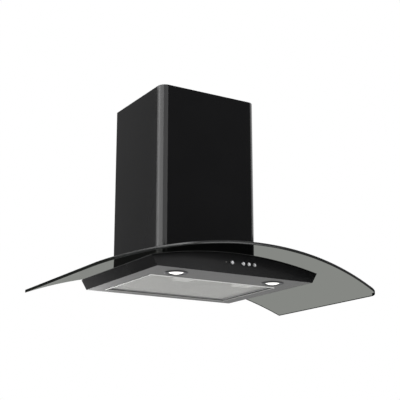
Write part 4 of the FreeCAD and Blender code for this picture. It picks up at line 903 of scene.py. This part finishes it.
def makeFloor():
    # A pale floor so far below the hood that a view from below still stands on it, and wide to the
    # horizon. Seen straight or through the glass it is nearer to the white of the world, and still
    # holds a shadow.
    size = {"half": 200, "height": -3.2, "whiteShare": 0.6}
    pale = finish("paleFloor", "#efefef", "#ededed", 400, (0.7, 0.8))
    tree = pale.node_tree
    shader, output = tree.nodes["Principled BSDF"], tree.nodes["Material Output"]
    ray = add(tree, "ShaderNodeLightPath").outputs
    seen = either(tree, ray["Is Camera Ray"], ray["Is Transmission Ray"])
    share = add(tree, "ShaderNodeMath", {0: seen, 1: size["whiteShare"]}, operation="MULTIPLY")
    white = add(tree, "ShaderNodeEmission", {"Color": colour("#ffffff"), "Strength": 1.0})
    mixed = add(tree, "ShaderNodeMixShader", {0: share, 1: shader, 2: white})
    tree.links.new(mixed.outputs[0], output.inputs["Surface"])
    plan = ((-1, -1), (1, -1), (1, 1), (-1, 1))
    corners = [(x * size["half"], y * size["half"], size["height"]) for x, y in plan]
    floor = flatSheet("floor", corners, pale)


def softbox(name, place, target, size, level, mirrorOnly=False):
    # The level is the panel's brightness, where 1 is white: its power is that times pi and its area.
    light = bpy.data.lights.new(name, "AREA")
    light.shape, light.size, light.size_y = "RECTANGLE", *size
    light.energy = level * math.pi * size[0] * size[1]
    lamp = newObject(name, light)
    lamp.location = place
    lamp.visible_camera = lamp.visible_transmission = False
    lamp.visible_diffuse = not mirrorOnly
    x, y, z = np.array(target, float) - np.array(place, float)
    lamp.rotation_euler = (math.atan2(math.hypot(x, y), -z), 0, math.atan2(-x, y))


def mirrorCard(name, ends, height, level):
    # It faces the hood, which stands at the origin.
    first, last = (np.array([*end, sum(height) / 2]) for end in ends)
    middle, along = (first + last) / 2, last - first
    square = np.array([along[1], -along[0], 0])
    if square @ middle > 0:
        square = -square
    spans = (np.linalg.norm(along), height[1] - height[0])
    softbox(name, middle, middle + square, spans, level, True)


# Panels that only mirror images see, each an upright panel between two plan points, with its span of
# height and its level. Three on the left make the bright strip down the chimney's rounded corner,
# whose first edge is just beside what the chimney's flat left side mirrors, and a high one in front
# of them lets the strip fade. One on the right makes the line down the other corner. Two low in front
# are for the glass edge and the controls, and one low behind for the sheen that runs to the rear of
# the underside.
mirrorCards = {
    "leftRearCard": (((-1.884, 2.778), (-2.43, 1.95)), (0.2, 2.4), 8),
    "leftMiddleCard": (((-2.43, 1.95), (-2.764, 1.229)), (0.2, 2.4), 16.5),
    "leftFrontCard": (((-2.764, 1.229), (-2.287, -2.392)), (0.2, 2.3), 43),
    "leftHighCard": (((-2.287, -2.392), (0.7, -3.4)), (0.69, 2.0), 18),
    "rightCard": (((3.0, 0.7), (2.9, -1.6)), (0.8, 2.0), 6),
    "frontCard": (((0.9, -3.58), (1.74, -3.18)), (0.0, 0.77), 11),
    "frontSideCard": (((1.74, -3.18), (2.05, -3.0)), (0.0, 0.74), 4.5),
    "rearCard": (((1.6, 4.0), (-1.7, 4.0)), (-1.4, -0.3), 3.5),
}


def aimCards():
    # Only the chimney, the glass and what faces the cook mirror the strong cards. The filter and the
    # steel inside would turn white in them as soon as the filter opens or the view goes behind the
    # hood, and the cut edges of the side panels would draw a line.
    strong = 5
    showing = ["chimneyCover", "upperChimneySection", "smokedGlassCanopy", "controlPanel",
               "undersideTray", "leftLampRim", "rightLampRim", "leftLampLens", "rightLampLens",
               "pilotLight", *(f"pushButton{i}" for i in range(1, 5))]
    receivers = bpy.data.collections.new("cardReceivers")
    for name in showing:
        receivers.objects.link(bpy.data.objects[name])
    for name, (_, _, level) in mirrorCards.items():
        if level > strong:
            bpy.data.objects[name].light_linking.receiver_collection = receivers


def makeStudio():
    camera = {"lens": 87.42, "sensor": 36, "place": (-1.450435, -2.645085, -0.493502),
              "tilt": 15.0, "turn": -31.0845}
    makeWorld()
    makeFloor()
    makeFlag()
    softbox("overheadSoftbox", (0.6, -2.0, 3.0), (0, -0.2, 0.2), (2.4, 1.6), 2.5)
    for name, card in mirrorCards.items():
        mirrorCard(name, *card)
    view = bpy.data.cameras.new("photoCamera")
    view.lens, view.sensor_width = camera["lens"], camera["sensor"]
    eye = newObject("photoCamera", view)
    eye.location = camera["place"]
    eye.rotation_euler = (math.radians(90 + camera["tilt"]), 0, math.radians(camera["turn"]))
    bpy.context.scene.camera = eye
    bpy.context.scene.view_settings.view_transform = "Standard"


makeStudio()
print("studio made")
makeGlass()
makeChimney()
makeBody()
makeUnderside()
makeFilter()
makeMesh()
makeLatches()
makeSprings()
makeButtons()
makeLamps()
dressNodes()
aimCards()
